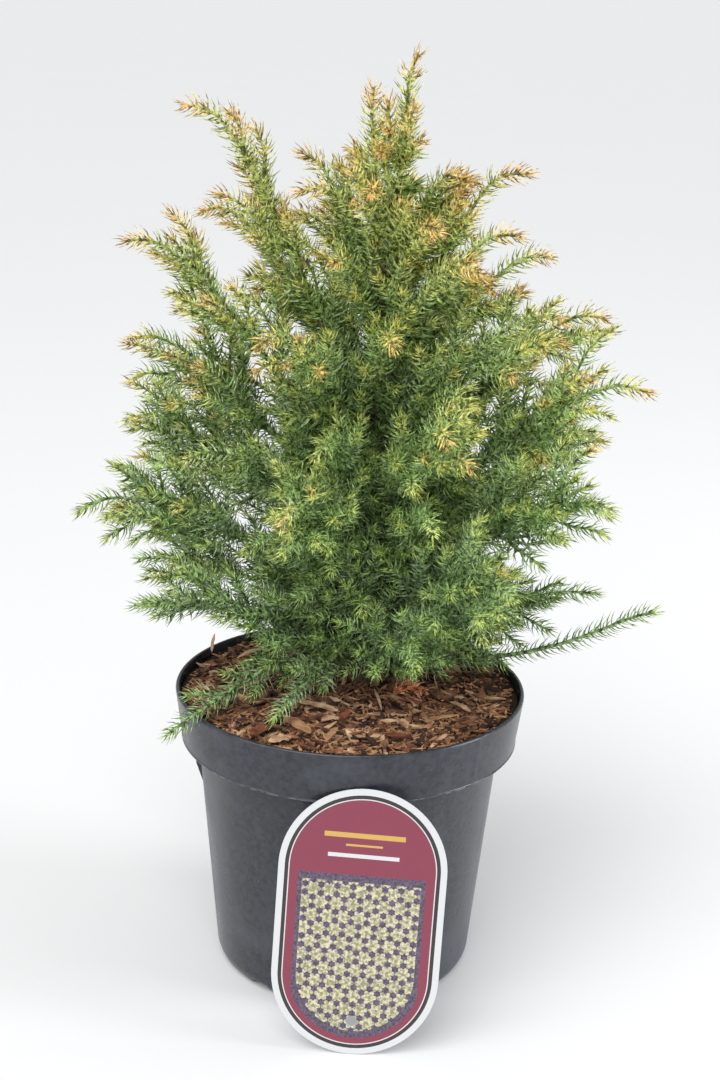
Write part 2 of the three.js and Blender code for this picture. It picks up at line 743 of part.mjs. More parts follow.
const plant = new THREE.Group();
potted.add(plant);
const bark = surface(colours.bark, 0.85);
add('trunk', makeTrunk(), bark, plant);
reserve('trunk', limbRods(trunkPath, (t) => trunkRadius(t, 0), ROD.trunkSteps));

const branches = [...OUTLINE, ...tierBranches()].map((branch, i) => {
  const line = branchLine(branch);
  return { ...branch, line, seed: BRANCH_SEED.first + BRANCH_SEED.step * i };
});

for (const branch of branches.filter(({ bare }) => bare > 0)) {
  const { name, line, bare } = branch;
  const bough = cutCurve(line, 0, bare);
  const radiusAt = (t) => THREE.MathUtils.lerp(rootRadius(branch), BOUGH.tipRadius, t);
  add(`${name}_bough`, limb(bough, radiusAt, BOUGH.sides, BOUGH.rings), bark, plant);
  reserve(`${name}_bough`, limbRods(bough, radiusAt, BOUGH.rings));
}

const leaderFoot = vec(...TRUNK.top).addScaledVector(trunkPath.getTangentAt(1), GAP);
const leaderKnee = leaderFoot.clone().addScaledVector(trunkPath.getTangentAt(1), LEADER.knee);
const masses = [{
  name: 'leader_foliage',
  stem: new THREE.QuadraticBezierCurve3(leaderFoot, leaderKnee, vec(...LEADER.tip)),
  spread: LEADER.spread,
  seed: LEADER.seed,
  lastSide: LEADER.lastSide,
}];
for (const { name, line, bare, spread, seed } of branches) {
  const stem = bare > 0 ? cutCurve(line, bare + GAP / line.getLength(), 1) : line;
  masses.push({ name: `${name}_foliage`, stem, spread, seed });
}
for (const { name, stem } of masses) reserve(name, coreRods(stem, SHOOT.stemRadius));
for (const mass of masses) {
  add(mass.name, makeFoliage(mass), foliageMaterial(mass.stem.v2.z), plant);
}

export default potted;
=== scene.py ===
"""Potted young cryptomeria: the finish of every surface, laid out as an add-on.

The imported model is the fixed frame. The plant is grown again from its own rule, the same as in the
model's source and in millimetres as there: branches leave the trunk, each carries a stem of foliage,
the stem carries side shoots, and these carry finer twigs, all clad in needles. Every finished piece is
in metres and has its place in its mesh.
"""

import bisect
import math
from collections import defaultdict, namedtuple

import bmesh
import bpy
from bpy.props import FloatProperty, FloatVectorProperty, IntProperty, PointerProperty
from mathutils import Matrix, Vector, noise


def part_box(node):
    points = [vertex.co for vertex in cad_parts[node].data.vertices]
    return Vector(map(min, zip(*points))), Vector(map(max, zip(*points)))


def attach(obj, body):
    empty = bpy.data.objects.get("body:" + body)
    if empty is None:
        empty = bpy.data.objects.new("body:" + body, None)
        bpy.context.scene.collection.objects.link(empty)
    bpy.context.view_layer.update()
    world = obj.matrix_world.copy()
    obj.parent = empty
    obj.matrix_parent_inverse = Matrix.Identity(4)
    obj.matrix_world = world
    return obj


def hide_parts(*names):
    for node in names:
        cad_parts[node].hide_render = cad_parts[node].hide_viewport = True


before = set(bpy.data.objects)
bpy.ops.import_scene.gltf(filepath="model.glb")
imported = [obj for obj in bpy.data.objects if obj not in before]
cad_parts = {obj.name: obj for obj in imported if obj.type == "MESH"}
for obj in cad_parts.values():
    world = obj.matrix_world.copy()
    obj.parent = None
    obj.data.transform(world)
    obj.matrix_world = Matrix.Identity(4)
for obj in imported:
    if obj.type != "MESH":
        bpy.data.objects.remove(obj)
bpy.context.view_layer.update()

bl_info = {
    "name": "Potted Cryptomeria",
    "version": (1, 0, 0),
    "blender": (4, 5, 0),
    "location": "3D View > Sidebar > Cryptomeria",
    "description": "Makes a potted young cryptomeria with its pot, mulch, label, bark, twigs and needles",
    "category": "Add Mesh",
}

MM = 0.001
BODY = "root"
GOLDEN_ANGLE = math.pi * (3 - math.sqrt(5))
UP = Vector((0, 0, 1))

# ---- The pot and what it holds, in millimetres -------------------------------------------------------

POT = {
    "height": 145,
    "rim_radius": 86.4,
    "band_foot_radius": 83.1,
    "band_foot": 119.3,  # height of the rim band's lower edge
    "body_top_radius": 75.2,
    "body_foot_radius": 64.5,
    "stand_radius": 59,
    "foot_height": 5.5,
    "wall": 1.8,
    "floor": 2.2,
    "ribs": 4,
    "rib_first": 7,  # heading of the first rib, degrees
    "rib_height": 31,
    "rib_depth": 2.6,
    "rib_width": 2.4,
    "rib_bend": 0.45,  # where a rib turns in to the body, as a share of its height above its foot
    "rib_bend_depth": 0.7,  # how far it stands out there, as a share of its depth
    "drains": 5,
    "drain_first": 233,  # heading of the first notch, degrees
    "drain_width": 9,
    "drain_height": 4,
    "drain_depth": 8,
    "seam": 318,  # heading of the mould seam on the band
    "sides": 360,  # of its round surfaces
    "sharp": 40,  # the angle from which an edge looks sharp, degrees
}
MIX = {
    "top": 141,
    "relief": 1.5,  # height of the lumps
    "lump_width": 33,  # spacing of the lumps along X and along Y
    "lump_depth": 27,
    "swell_width": 90,  # spacing of the broad swells below them
    "swell_depth": 57,
    "swell": 0.6,  # height of the swells as a share of the lumps'
    "calm": 18,  # level ground round the trunk
}
LABEL = {"width": 78, "length": 129.5, "thickness": 0.8, "centre": 11, "turn": 2, "foot_front": 102,
         "hole_radius": 2.6, "hole_height": 16.4}

# ---- The plant's rule, in millimetres ----------------------------------------------------------------

GAP = 0.3
TRUNK = {"foot": (9, 14), "bend": ((9, 14, 225), (3, 6, 320)), "top": (15, 1, 393),
         "foot_radius": 4.6, "tip_radius": 1.5, "power": 0.85, "flare": 3.4, "flare_height": 6,
         "spurs": 5, "spur_depth": 0.3}
LEADER = {"tip": (17, 0, 448), "spread": 24, "seed": 7, "knee": 26, "last": 0.3}

# Where each branch leaves the trunk, its heading seen from above, the distance of its tip from the
# plant's axis, the height of the tip, the sag under the chord, the length of its side shoots, and the
# share of it that is a bare bough.
Branch = namedtuple("Branch", "name start heading reach tip sag spread bare")
OUTLINE = [
    Branch("second_leader", 352, 225, 13, 433, 0.08, 20, 0),
    Branch("left_leader", 268, 186, 89, 427, -0.18, 38, 0.34),
    Branch("left_inner", 322, 200, 35, 406, -0.02, 28, 0),
    Branch("left_1", 282, 158, 95, 375, -0.13, 38, 0),
    Branch("left_2", 240, 195, 117, 368, -0.12, 42, 0.34),
    Branch("left_3", 220, 173, 121, 313, -0.12, 46, 0.34),
    Branch("left_4", 200, 157, 142, 262, -0.1, 50, 0.34),
    Branch("left_5", 190, 187, 144, 234, -0.12, 46, 0.34),
    Branch("left_6", 170, 158, 136, 184, -0.1, 44, 0.34),
    Branch("left_7", 164, 200, 112, 192, -0.04, 40, 0.34),
    Branch("over_rim", 172, 220, 119, 140, -0.1, 20, 0.34),
    Branch("right_inner", 340, 342, 34, 397, -0.04, 26, 0),
    Branch("right_1", 306, 352, 58, 403, -0.04, 30, 0),
    Branch("right_2", 296, 326, 68, 378, -0.1, 34, 0),
    Branch("right_3", 276, 28, 88, 356, -0.12, 38, 0),
    Branch("right_4", 256, 326, 95, 344, -0.1, 40, 0),
    Branch("right_5", 236, 12, 107, 331, -0.14, 44, 0.34),
    Branch("right_6", 212, 345, 127, 308, -0.14, 46, 0.34),
    Branch("right_7", 196, 30, 133, 272, -0.12, 48, 0.34),
    Branch("right_8", 190, 332, 121, 256, -0.1, 48, 0.34),
    Branch("low_front", 166, 241, 86, 150, -0.12, 24, 0),
    Branch("low_right", 160, 356, 138, 190, 0.2, 16, 0),
    Branch("right_9", 166, 12, 116, 186, -0.06, 36, 0),
]
CROWN = {
    "front": ((398, 262), (366, 306), (334, 238), (300, 288), (264, 252), (226, 304), (190, 284)),
    "back": ((390, 82), (356, 128), (322, 54), (286, 104), (250, 70), (212, 122), (174, 64)),
    "profile": ((150, 76), (180, 92), (220, 108), (262, 114), (300, 106), (340, 84), (380, 58), (420, 30)),
    "depth": 1.05,
    "sag": -0.12,
    "spread": 46,
    "spread_taper": 0.4,
    "rise": 0.35,  # height of a low branch's tip above its root, as a share of its reach
    "top_rise": 0.7,  # added to that towards the top
    "lowest": 138,  # no branch leaves the trunk below this, plus its tip's height over lowest_run
    "lowest_run": 10,
    "bough_from": 104,  # reach from which a branch to the front or back has a bare bough
}
BOUGH = {"bare": 0.34, "thickness": 0.03, "tip_radius": 1.5}
SHOOT = {
    "step": 12,  # distance between side shoots along a stem
    "first": 0.08,  # where along the stem the first and last of them stand
    "last": 0.66,
    "scatter": 0.5,  # how far a root strays, as a share of the step
    "lean": 40,  # angle from the stem, degrees
    "ahead": 0.7,  # how much a shoot turns along the stem, and up, on its way to its tip
    "up": 0.15,
    "shortest": 14,
    "taper": 0.45,  # how much shorter the side shoots are at the stem's tip
    "least": 0.8,  # a shoot's length varies from this share of its rule
    "range": 0.4,  # by up to this
    "fewest": 3,
    "divisions": 24,  # of a shoot's curve, along which its length is measured
    "stem_radius": 2,
}

# What the solids leave out: inner branches that leave the trunk by the golden angle, shoots on the bare
# boughs and the trunk, and finer twigs on the side shoots.
INNER = {"lowest": 166, "highest": 422, "step": 6, "heading": 25, "reach": 0.66, "range": 0.26, "spread": 36}
LIMB_SHOOT = {"step": 8, "spread": 34, "shortest": 16, "last": 0.95}
TWIG = {"step": 13, "spread": 28, "shortest": 15, "last": 0.6}
TWIG_FROM = 26  # length of the shortest side shoot that carries twigs
TWIG_TAPER = 0.45  # how much shorter twigs are at the crown's top
SPARSE_FROM = 0.45  # height in the crown, as a share, above which only every second side shoot grows
CLEARANCE = {"mulch": 3, "rim": 2, "steps": 5}  # a shoot keeps off them at the ends of its steps
# The crown's lower edge rises away from the trunk over these headings, so that the mulch shows.
SKIRT = {"headings": ((145, 207), (255, 350)), "from": 18, "to": 78, "rise": 0.5, "above": 4}
# Starts of the random numbers: of the branches in turn, the inner branches, the shoots on the trunk and
# those on the boughs; and what is added for the mood of a stem, the moods of its shoots, each shoot's
# twigs, and each tint of needles and each lot of them.
SEED = {"branches": 101, "branch_step": 17, "inner": 3, "trunk": 899, "boughs": 900,
        "stem_mood": 3, "moods": 5, "twigs": 31, "tints": 10, "lots": 1000}


def heading(degrees):
    """Unit vector that points along a heading, seen from above."""
    return Vector((math.cos(math.radians(degrees)), math.sin(math.radians(degrees)), 0))


def read_table(table, value):
    """Straight-line reading of a table of (input, output) pairs."""
    if value <= table[0][0]:
        return table[0][1]
    for (k0, v0), (k1, v1) in zip(table, table[1:]):
        if value <= k1:
            return v0 + (v1 - v0) * (value - k0) / (k1 - k0)
    return table[-1][1]


def smoothstep(value, low, high):
    t = min(1.0, max(0.0, (value - low) / (high - low)))
    return t * t * (3 - 2 * t)


def seeded(seed):
    """A repeatable stream of numbers from 0 to 1."""
    mask = 0xFFFFFFFF
    state = seed & mask

    def draw():
        nonlocal state
        state = (state + 0x6D2B79F5) & mask
        t = state
        t = ((t ^ (t >> 15)) * (t | 1)) & mask
        t ^= (t + (((t ^ (t >> 7)) * (t | 61)) & mask)) & mask
        return ((t ^ (t >> 14)) & mask) / 4294967296

    return draw


def blended(row, t):
    """Point at t of the Bezier curve that a row of control points makes."""
    while len(row) > 1:
        row = [a.lerp(b, t) for a, b in zip(row, row[1:])]
    return row[0].copy()


class Path:
    """Bezier curve of its control points, walked by its length."""

    def __init__(self, *controls, divisions=200):
        self.controls = [Vector(c) for c in controls]
        self.divisions = divisions
        places = [self.point(i / divisions) for i in range(divisions + 1)]
        self.walked = [0.0]
        for a, b in zip(places, places[1:]):
            self.walked.append(self.walked[-1] + (b - a).length)
        self.length = self.walked[-1]

    def point(self, t):
        return blended(self.controls, t)

    def parameter(self, share):
        """Curve parameter at a share of the length."""
        target = share * self.length
        i = min(self.divisions - 1, max(0, bisect.bisect_right(self.walked, target) - 1))
        step = self.walked[i + 1] - self.walked[i]
        return (i + (target - self.walked[i]) / step) / self.divisions

    def at(self, share):
        return self.point(min(1.0, max(0.0, self.parameter(share))))

    def ahead(self, share):
        """Direction at a share of the length."""
        steps = [b - a for a, b in zip(self.controls, self.controls[1:])]
        return blended(steps, self.parameter(share)).normalized()

    def sides(self, steps):
        """Two directions square to the curve at equal steps, without twist."""
        tangents = [self.ahead(i / steps) for i in range(steps + 1)]
        first = tangents[0]
        axis = min(range(3), key=lambda k: (abs(first[k]), -k))
        least = Vector([float(k == axis) for k in range(3)])
        normal = first.cross(first.cross(least).normalized())
        pairs = [(normal, first.cross(normal))]
        for a, b in zip(tangents, tangents[1:]):
            normal = a.rotation_difference(b) @ normal
            pairs.append((normal, b.cross(normal)))
        return pairs

    def part(self, start, end):
        """The stretch of a three-point curve between two of its parameters."""
        v0, v1, v2 = self.controls
        middle = v0.lerp(v1, start).lerp(v1.lerp(v2, start), end)
        return Path(self.point(start), middle, self.point(end))


# ---- Trunk and branches ------------------------------------------------------------------------------

TRUNK_PATH = Path((*TRUNK["foot"], MIX["top"] + GAP), *TRUNK["bend"], TRUNK["top"])


def trunk_radius(share):
    """Radius of the trunk at a share of its length, with the root flare."""
    taper = TRUNK["foot_radius"] + (TRUNK["tip_radius"] - TRUNK["foot_radius"]) * share**TRUNK["power"]
    return taper + TRUNK["flare"] * math.exp(-share * TRUNK_PATH.length / TRUNK["flare_height"])


def trunk_share(height):
    """Share of the trunk's length at a height, by halving."""
    low, high = 0.0, 1.0
    for _ in range(20):
        middle = (low + high) / 2
        if TRUNK_PATH.at(middle).z < height:
            low = middle
        else:
            high = middle
    return low


def crown_height(z):
    """Height in the crown as a share, from the mulch to the leader's tip."""
    return (z - MIX["top"]) / (LEADER["tip"][2] - MIX["top"])


def branch_start(tip, reach):
    """Height at which a branch leaves the trunk: steeper branches towards the top."""
    rise = reach * (CROWN["rise"] + CROWN["top_rise"] * crown_height(tip))
    return max(CROWN["lowest"] + tip / CROWN["lowest_run"], tip - rise)


def crown_branch(name, tip, way, reach, spread, bare=0):
    """A branch by the crown's rule, with shorter side shoots towards the top."""
    spread = spread * (1 - CROWN["spread_taper"] * crown_height(tip))
    return Branch(name, branch_start(tip, reach), way, reach, tip, CROWN["sag"], spread, bare)


def tier_branches():
    """Branches towards the front and the back, which follow the crown's profile."""
    for side in ("front", "back"):
        for i, (tip, way) in enumerate(CROWN[side]):
            reach = read_table(CROWN["profile"], tip) * CROWN["depth"]
            bare = BOUGH["bare"] if reach > CROWN["bough_from"] else 0
            yield crown_branch(f"{side}_{i + 1}", tip, way, reach, CROWN["spread"], bare)


def inner_branches():
    """Shorter branches that fill the crown between the outer ones."""
    draw = seeded(SEED["inner"])
    count = (INNER["highest"] - INNER["lowest"]) // INNER["step"]
    for i in range(count):
        tip = INNER["lowest"] + INNER["step"] * i
        reach = read_table(CROWN["profile"], tip) * (INNER["reach"] + INNER["range"] * draw())
        way = INNER["heading"] + math.degrees(GOLDEN_ANGLE) * i
        yield crown_branch(f"inner_{i}", tip, way, reach, INNER["spread"])


def root_radius(branch):
    if branch.bare > 0:
        return BOUGH["tip_radius"] + BOUGH["thickness"] * branch.bare * branch.reach
    return SHOOT["stem_radius"]


def branch_line(branch):
    """The branch's line, from just clear of the trunk to its tip."""
    share = trunk_share(branch.start)
    centre = TRUNK_PATH.at(share)
    tip = Vector((*TRUNK["foot"], 0)) + heading(branch.heading) * branch.reach
    tip.z = branch.tip
    knee = centre.lerp(tip, 0.5) - UP * branch.sag * (tip - centre).length
    steepness = abs((knee - centre).normalized().z)
    out = tip - centre
    out.z = 0
    start = centre + out.normalized() * (trunk_radius(share) + GAP + root_radius(branch) * steepness)
    return Path(start, knee, tip)


def deal_shoots(stem, seed, spread, step=SHOOT["step"], shortest=SHOOT["shortest"], last=SHOOT["last"]):
    """Shoots dealt round a stem by the golden angle, shorter towards its tip."""
    draw = seeded(seed)
    count = max(SHOOT["fewest"], round(stem.length / step))
    phase = draw() * 2 * math.pi
    sides = stem.sides(count)
    lean = math.radians(SHOOT["lean"])
    shoots = []
    for i in range(count):
        share = SHOOT["first"] + (last - SHOOT["first"]) * (i + draw() * SHOOT["scatter"]) / count
        turn = phase + i * GOLDEN_ANGLE
        rule = spread * (1 - SHOOT["taper"] * share)
        length = rule * (SHOOT["least"] + SHOOT["range"] * draw())
        if length < shortest:
            continue
        ahead = stem.ahead(share)
        aside = sides[i][0] * math.cos(turn) + sides[i][1] * math.sin(turn)
        leave = ahead * math.cos(lean) + aside * math.sin(lean)
        arrive = (leave + ahead * SHOOT["ahead"] + UP * SHOOT["up"]).normalized()
        root = stem.at(share)
        knee = root + leave * length / 2
        shoots.append(Path(root, knee, knee + arrive * length / 2, divisions=SHOOT["divisions"]))
    return shoots


def pot_inside(z):
    """Inner radius of the pot's body or band at a height."""
    shelf = POT["band_foot"] + POT["wall"]
    if z < shelf:
        line = ((POT["foot_height"], POT["body_foot_radius"]), (POT["band_foot"], POT["body_top_radius"]))
    else:
        line = ((POT["band_foot"], POT["band_foot_radius"]), (POT["height"], POT["rim_radius"]))
    return read_table(line, z) - POT["wall"]


def from_trunk(x, y):
    """Distance from the trunk's foot, seen from above."""
    return math.hypot(x - TRUNK["foot"][0], y - TRUNK["foot"][1])


def mulch_height(x, y):
    """Height of the mulch: level at the trunk, lumpy further out."""
    turn = 2 * math.pi
    lumps = math.sin(turn * x / MIX["lump_width"]) * math.cos(turn * y / MIX["lump_depth"])
    swells = math.sin(turn * x / MIX["swell_width"] - turn * y / MIX["swell_depth"])
    height = (lumps + MIX["swell"] * swells) / (1 + MIX["swell"])
    calm = smoothstep(from_trunk(x, y), MIX["calm"], 2 * MIX["calm"])
    return MIX["top"] + MIX["relief"] * height * calm


def is_off_pot(path):
    """Whether a shoot keeps clear of the mulch and the pot's rim, and above the crown's lower edge."""
    gap = CLEARANCE["rim"]
    for i in range(CLEARANCE["steps"] + 1):
        point = path.at(i / CLEARANCE["steps"])
        away = math.hypot(point.x, point.y)
        over_mulch = away < pot_inside(POT["height"]) - gap
        floor = MIX["top"] + CLEARANCE["mulch"] if over_mulch else POT["height"] + gap
        if away < POT["rim_radius"] + gap and point.z < floor:
            return False
        out = point - Vector((*TRUNK["foot"], point.z))
        way = math.degrees(math.atan2(out.y, out.x)) % 360
        if any(low < way < high for low, high in SKIRT["headings"]):
            beyond = min(SKIRT["to"], max(SKIRT["from"], out.length)) - SKIRT["from"]
            if point.z < MIX["top"] + SKIRT["above"] + SKIRT["rise"] * beyond:
                return False
    return True


Shoot = namedtuple("Shoot", "path rank mood")


def crown_stems():
    """Every stem of foliage with the seed of its side shoots and the rule that deals them."""
    ahead = TRUNK_PATH.ahead(1)
    foot = Vector(TRUNK["top"]) + ahead * GAP
    rule = {"spread": LEADER["spread"], "last": LEADER["last"]}
    yield Path(foot, foot + ahead * LEADER["knee"], LEADER["tip"]), LEADER["seed"], rule
    for i, branch in enumerate([*OUTLINE, *tier_branches(), *inner_branches()]):
        line = branch_line(branch)
        stem = line.part(branch.bare + GAP / line.length, 1) if branch.bare > 0 else line
        yield stem, SEED["branches"] + SEED["branch_step"] * i, {"spread": branch.spread}


def bough_lines():
    """The bare boughs: each branch with its line from the trunk to its mass."""
    for branch in [*OUTLINE, *tier_branches()]:
        if branch.bare > 0:
            yield branch, branch_line(branch).part(0, branch.bare)


def crown_shoots():
    """Every shoot of the crown: stems of rank 0, side shoots of rank 1 and finer twigs of rank 2.

    A shoot's mood, from 0 to 1, sets how its tint and its tip's bend differ from its neighbours'."""
    shoots = []

    def add(path, rank, mood):
        if rank == 0 or is_off_pot(path):
            shoots.append(Shoot(path, rank, mood))
            return True
        return False

    def branch_out(sides, seed):
        mood = seeded(seed + SEED["moods"])
        for k, side in enumerate(sides):
            height = crown_height(side.at(0).z)
            if k % 2 and height > SPARSE_FROM:
                continue
            if add(side, 1, mood()) and side.length > TWIG_FROM:
                spread = TWIG["spread"] * (1 - TWIG_TAPER * height)
                twigs = deal_shoots(side, seed + SEED["twigs"] * k, **{**TWIG, "spread": spread})
                for twig in twigs:
                    add(twig, 2, mood())

    for stem, seed, rule in crown_stems():
        add(stem, 0, seeded(seed + SEED["stem_mood"])())
        branch_out(deal_shoots(stem, seed, **rule), seed)
    limbs = [(bough, SEED["boughs"] + i) for i, (_, bough) in enumerate(bough_lines())]
    for limb, seed in [*limbs, (TRUNK_PATH, SEED["trunk"])]:
        branch_out(deal_shoots(limb, seed, **LIMB_SHOOT), seed)
    return shoots


# ---- Node trees --------------------------------------------------------------------------------------


def srgb(red, green, blue):
    """Linear colour of a paint given from 0 to 255."""
    def linear(c):
        c /= 255
        return c / 12.92 if c <= 0.04045 else ((c + 0.055) / 1.055) ** 2.4
    return (linear(red), linear(green), linear(blue))


def shade(colour, factor):
    return tuple(c * factor for c in colour)


def math_node(operation):
    """An operator that adds the math node of that name."""
    return lambda wire, other: wire.net.math(operation, wire, other)


class Wire:
    """A node's output. Arithmetic on it adds the math node that it needs."""

    def __init__(self, net, socket):
        self.net = net
        self.socket = socket

    __add__ = math_node("ADD")
    __sub__ = math_node("SUBTRACT")
    __mul__ = math_node("MULTIPLY")
    __truediv__ = math_node("DIVIDE")
    __pow__ = math_node("POWER")
    below = math_node("LESS_THAN")
    above = math_node("GREATER_THAN")

    def __rsub__(self, other):
        return self.net.math("SUBTRACT", other, self)

    def __abs__(self):
        return self.net.math("ABSOLUTE", self)


class Net:
    """Builds a node tree: each call adds a node and gives one of its outputs."""

    def __init__(self, tree):
        self.tree = tree

    def add(self, kind, feeds=None, out=0, **named):
        """Names in capitals, and the keys of feeds, are the node's inputs. Other names are settings."""
        node = self.tree.nodes.new(kind)
        place = len(self.tree.nodes)
        node.location = (220 * (place % 10), -260 * (place // 10))
        feeds = dict(feeds or {})
        for name, value in named.items():
            if name[0].isupper():
                feeds[name.replace("_", " ")] = value
            else:
                setattr(node, name, value)
        for key, value in feeds.items():
            self.feed(node.inputs[key], value)
        return Wire(self, node.outputs[out])

    def feed(self, socket, value):
        if isinstance(value, Wire):
            self.tree.links.new(value.socket, socket)
        elif socket.type == "RGBA":
            socket.default_value = (*value, 1)
        else:
            socket.default_value = value

    def outputs(self, wire):
        """Every output of a wire's node."""
        return [Wire(self, socket) for socket in wire.socket.node.outputs]

    def math(self, operation, *values):
        return self.add("ShaderNodeMath", dict(enumerate(values)), operation=operation)

    def vector(self, operation, *values, out=0, **named):
        return self.add("ShaderNodeVectorMath", dict(enumerate(values)), out, operation=operation, **named)

    def scale(self, vector, factor):
        return self.vector("SCALE", vector, Scale=factor)

    def distance(self, x, y):
        """Length of a flat vector."""
        return self.vector("LENGTH", self.combine(x, y, 0.0), out="Value")

    def combine(self, x, y, z):
        return self.add("ShaderNodeCombineXYZ", X=x, Y=y, Z=z)

    def split(self, vector):
        return self.outputs(self.add("ShaderNodeSeparateXYZ", Vector=vector))

    def noise(self, vector, scale, detail=2.0, out="Fac"):
        return self.add("ShaderNodeTexNoise", out=out, Vector=vector, Scale=scale, Detail=detail)

    def ramp(self, value, low, high, to_low=0.0, to_high=1.0):
        """Straight ramp from one range to another, clamped."""
        return self.add("ShaderNodeMapRange", dict(enumerate((value, low, high, to_low, to_high))))

    def mix(self, share, first, second):
        """Mixes two colours."""
        return self.add("ShaderNodeMix", {0: share, 6: first, 7: second}, out=2, data_type="RGBA")

    def random(self, low, high, seed):
        return self.add("FunctionNodeRandomValue", {2: low, 3: high}, out=1, data_type="FLOAT", Seed=seed)

    def named(self, name):
        """A number stored on the geometry."""
        return self.add("GeometryNodeInputNamedAttribute", Name=name, data_type="FLOAT")


def new_tree(name, kind, inputs, outputs):
    """A node group: its net, its inputs by name, and its output node. Sockets are listed by their kind."""
    tree = bpy.data.node_groups.new(name, kind)
    for way, sockets in (("INPUT", inputs), ("OUTPUT", outputs)):
        for socket, labels in sockets.items():
            for label in labels.split(", "):
                tree.interface.new_socket(label, in_out=way, socket_type=f"NodeSocket{socket}")
    net = Net(tree)
    entry = tree.nodes.new("NodeGroupInput")
    wires = {socket.name: Wire(net, socket) for socket in entry.outputs if socket.name}
    return net, wires, tree.nodes.new("NodeGroupOutput")


def geometry_tree(name, **inputs):
    inputs = {"Geometry": "Geometry", **inputs, "Material": "Material"}
    return new_tree(name, "GeometryNodeTree", inputs, {"Geometry": "Geometry"})


def close_tree(net, wires, leave, geometry):
    """Realizes the instances, sets the material and ends the tree."""
    plain = net.add("GeometryNodeRealizeInstances", Geometry=geometry)
    done = net.add("GeometryNodeSetMaterial", Geometry=plain, Material=wires["Material"])
    net.feed(leave.inputs["Geometry"], done)
    return net.tree


LINE_VALUES = ("pitch", "run", "size", "lean", "radius", "spur")  # numbers that only the trees read


def new_object(name, data):
    made = bpy.data.objects.new(name, data)
    bpy.context.scene.collection.objects.link(made)
    return made


def new_piece(name, mesh):
    mesh.name = name
    return new_object(name, mesh)


def finished_mesh(source):
    """Plain mesh of an object, as its modifiers or its curve's settings make it."""
    evaluated = source.evaluated_get(bpy.context.evaluated_depsgraph_get())
    return bpy.data.meshes.new_from_object(evaluated)


def grow(name, seed_mesh, tree, values):
    """Runs a node tree on a mesh and keeps the result as a plain mesh of that name."""
    source = new_object(f"{name}_lines", seed_mesh)
    modifier = source.modifiers.new("grow", "NODES")
    modifier.node_group = tree
    for socket in tree.interface.items_tree:
        if socket.name in values and socket.in_out == "INPUT":
            modifier[socket.identifier] = values[socket.name]
    mesh = finished_mesh(source)
    source.modifiers.remove(modifier)
    bpy.data.objects.remove(source)
    bpy.data.meshes.remove(seed_mesh)
    for attribute in list(mesh.attributes):
        if attribute.name in LINE_VALUES:
            mesh.attributes.remove(mesh.attributes[attribute.name])
    return new_piece(name, mesh)


def keep(piece, slot, *nodes):
    """Lets a piece ride on the plant's one body and stand for CAD nodes, which are hidden. Its slot is not
    used.
    """
    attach(piece, BODY)
    if nodes:
        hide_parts(*nodes)


def line_mesh(name, lines):
    """Mesh of open lines, each given as its points in millimetres and its numbers at each point."""
    places, edges, values = [], [], defaultdict(list)
    for points, numbers in lines:
        first = len(places)
        places.extend(point * MM for point in points)
        edges.extend((i, i + 1) for i in range(first, len(places) - 1))
        for key, row in numbers.items():
            values[key].extend(row)
    mesh = bpy.data.meshes.new(name)
    mesh.from_pydata(places, edges, [])
    for key, row in values.items():
        mesh.attributes.new(key, "FLOAT", "POINT").data.foreach_set("value", row)
    return mesh


# Needles of one shoot stray by up to this much in their turn round it, in radians, and their size lies
# between these two. Each is a cone of so many sides and segments.
NEEDLE = {"jitter": 0.25, "least": 0.88, "most": 1.1, "sides": 3, "segments": 2}


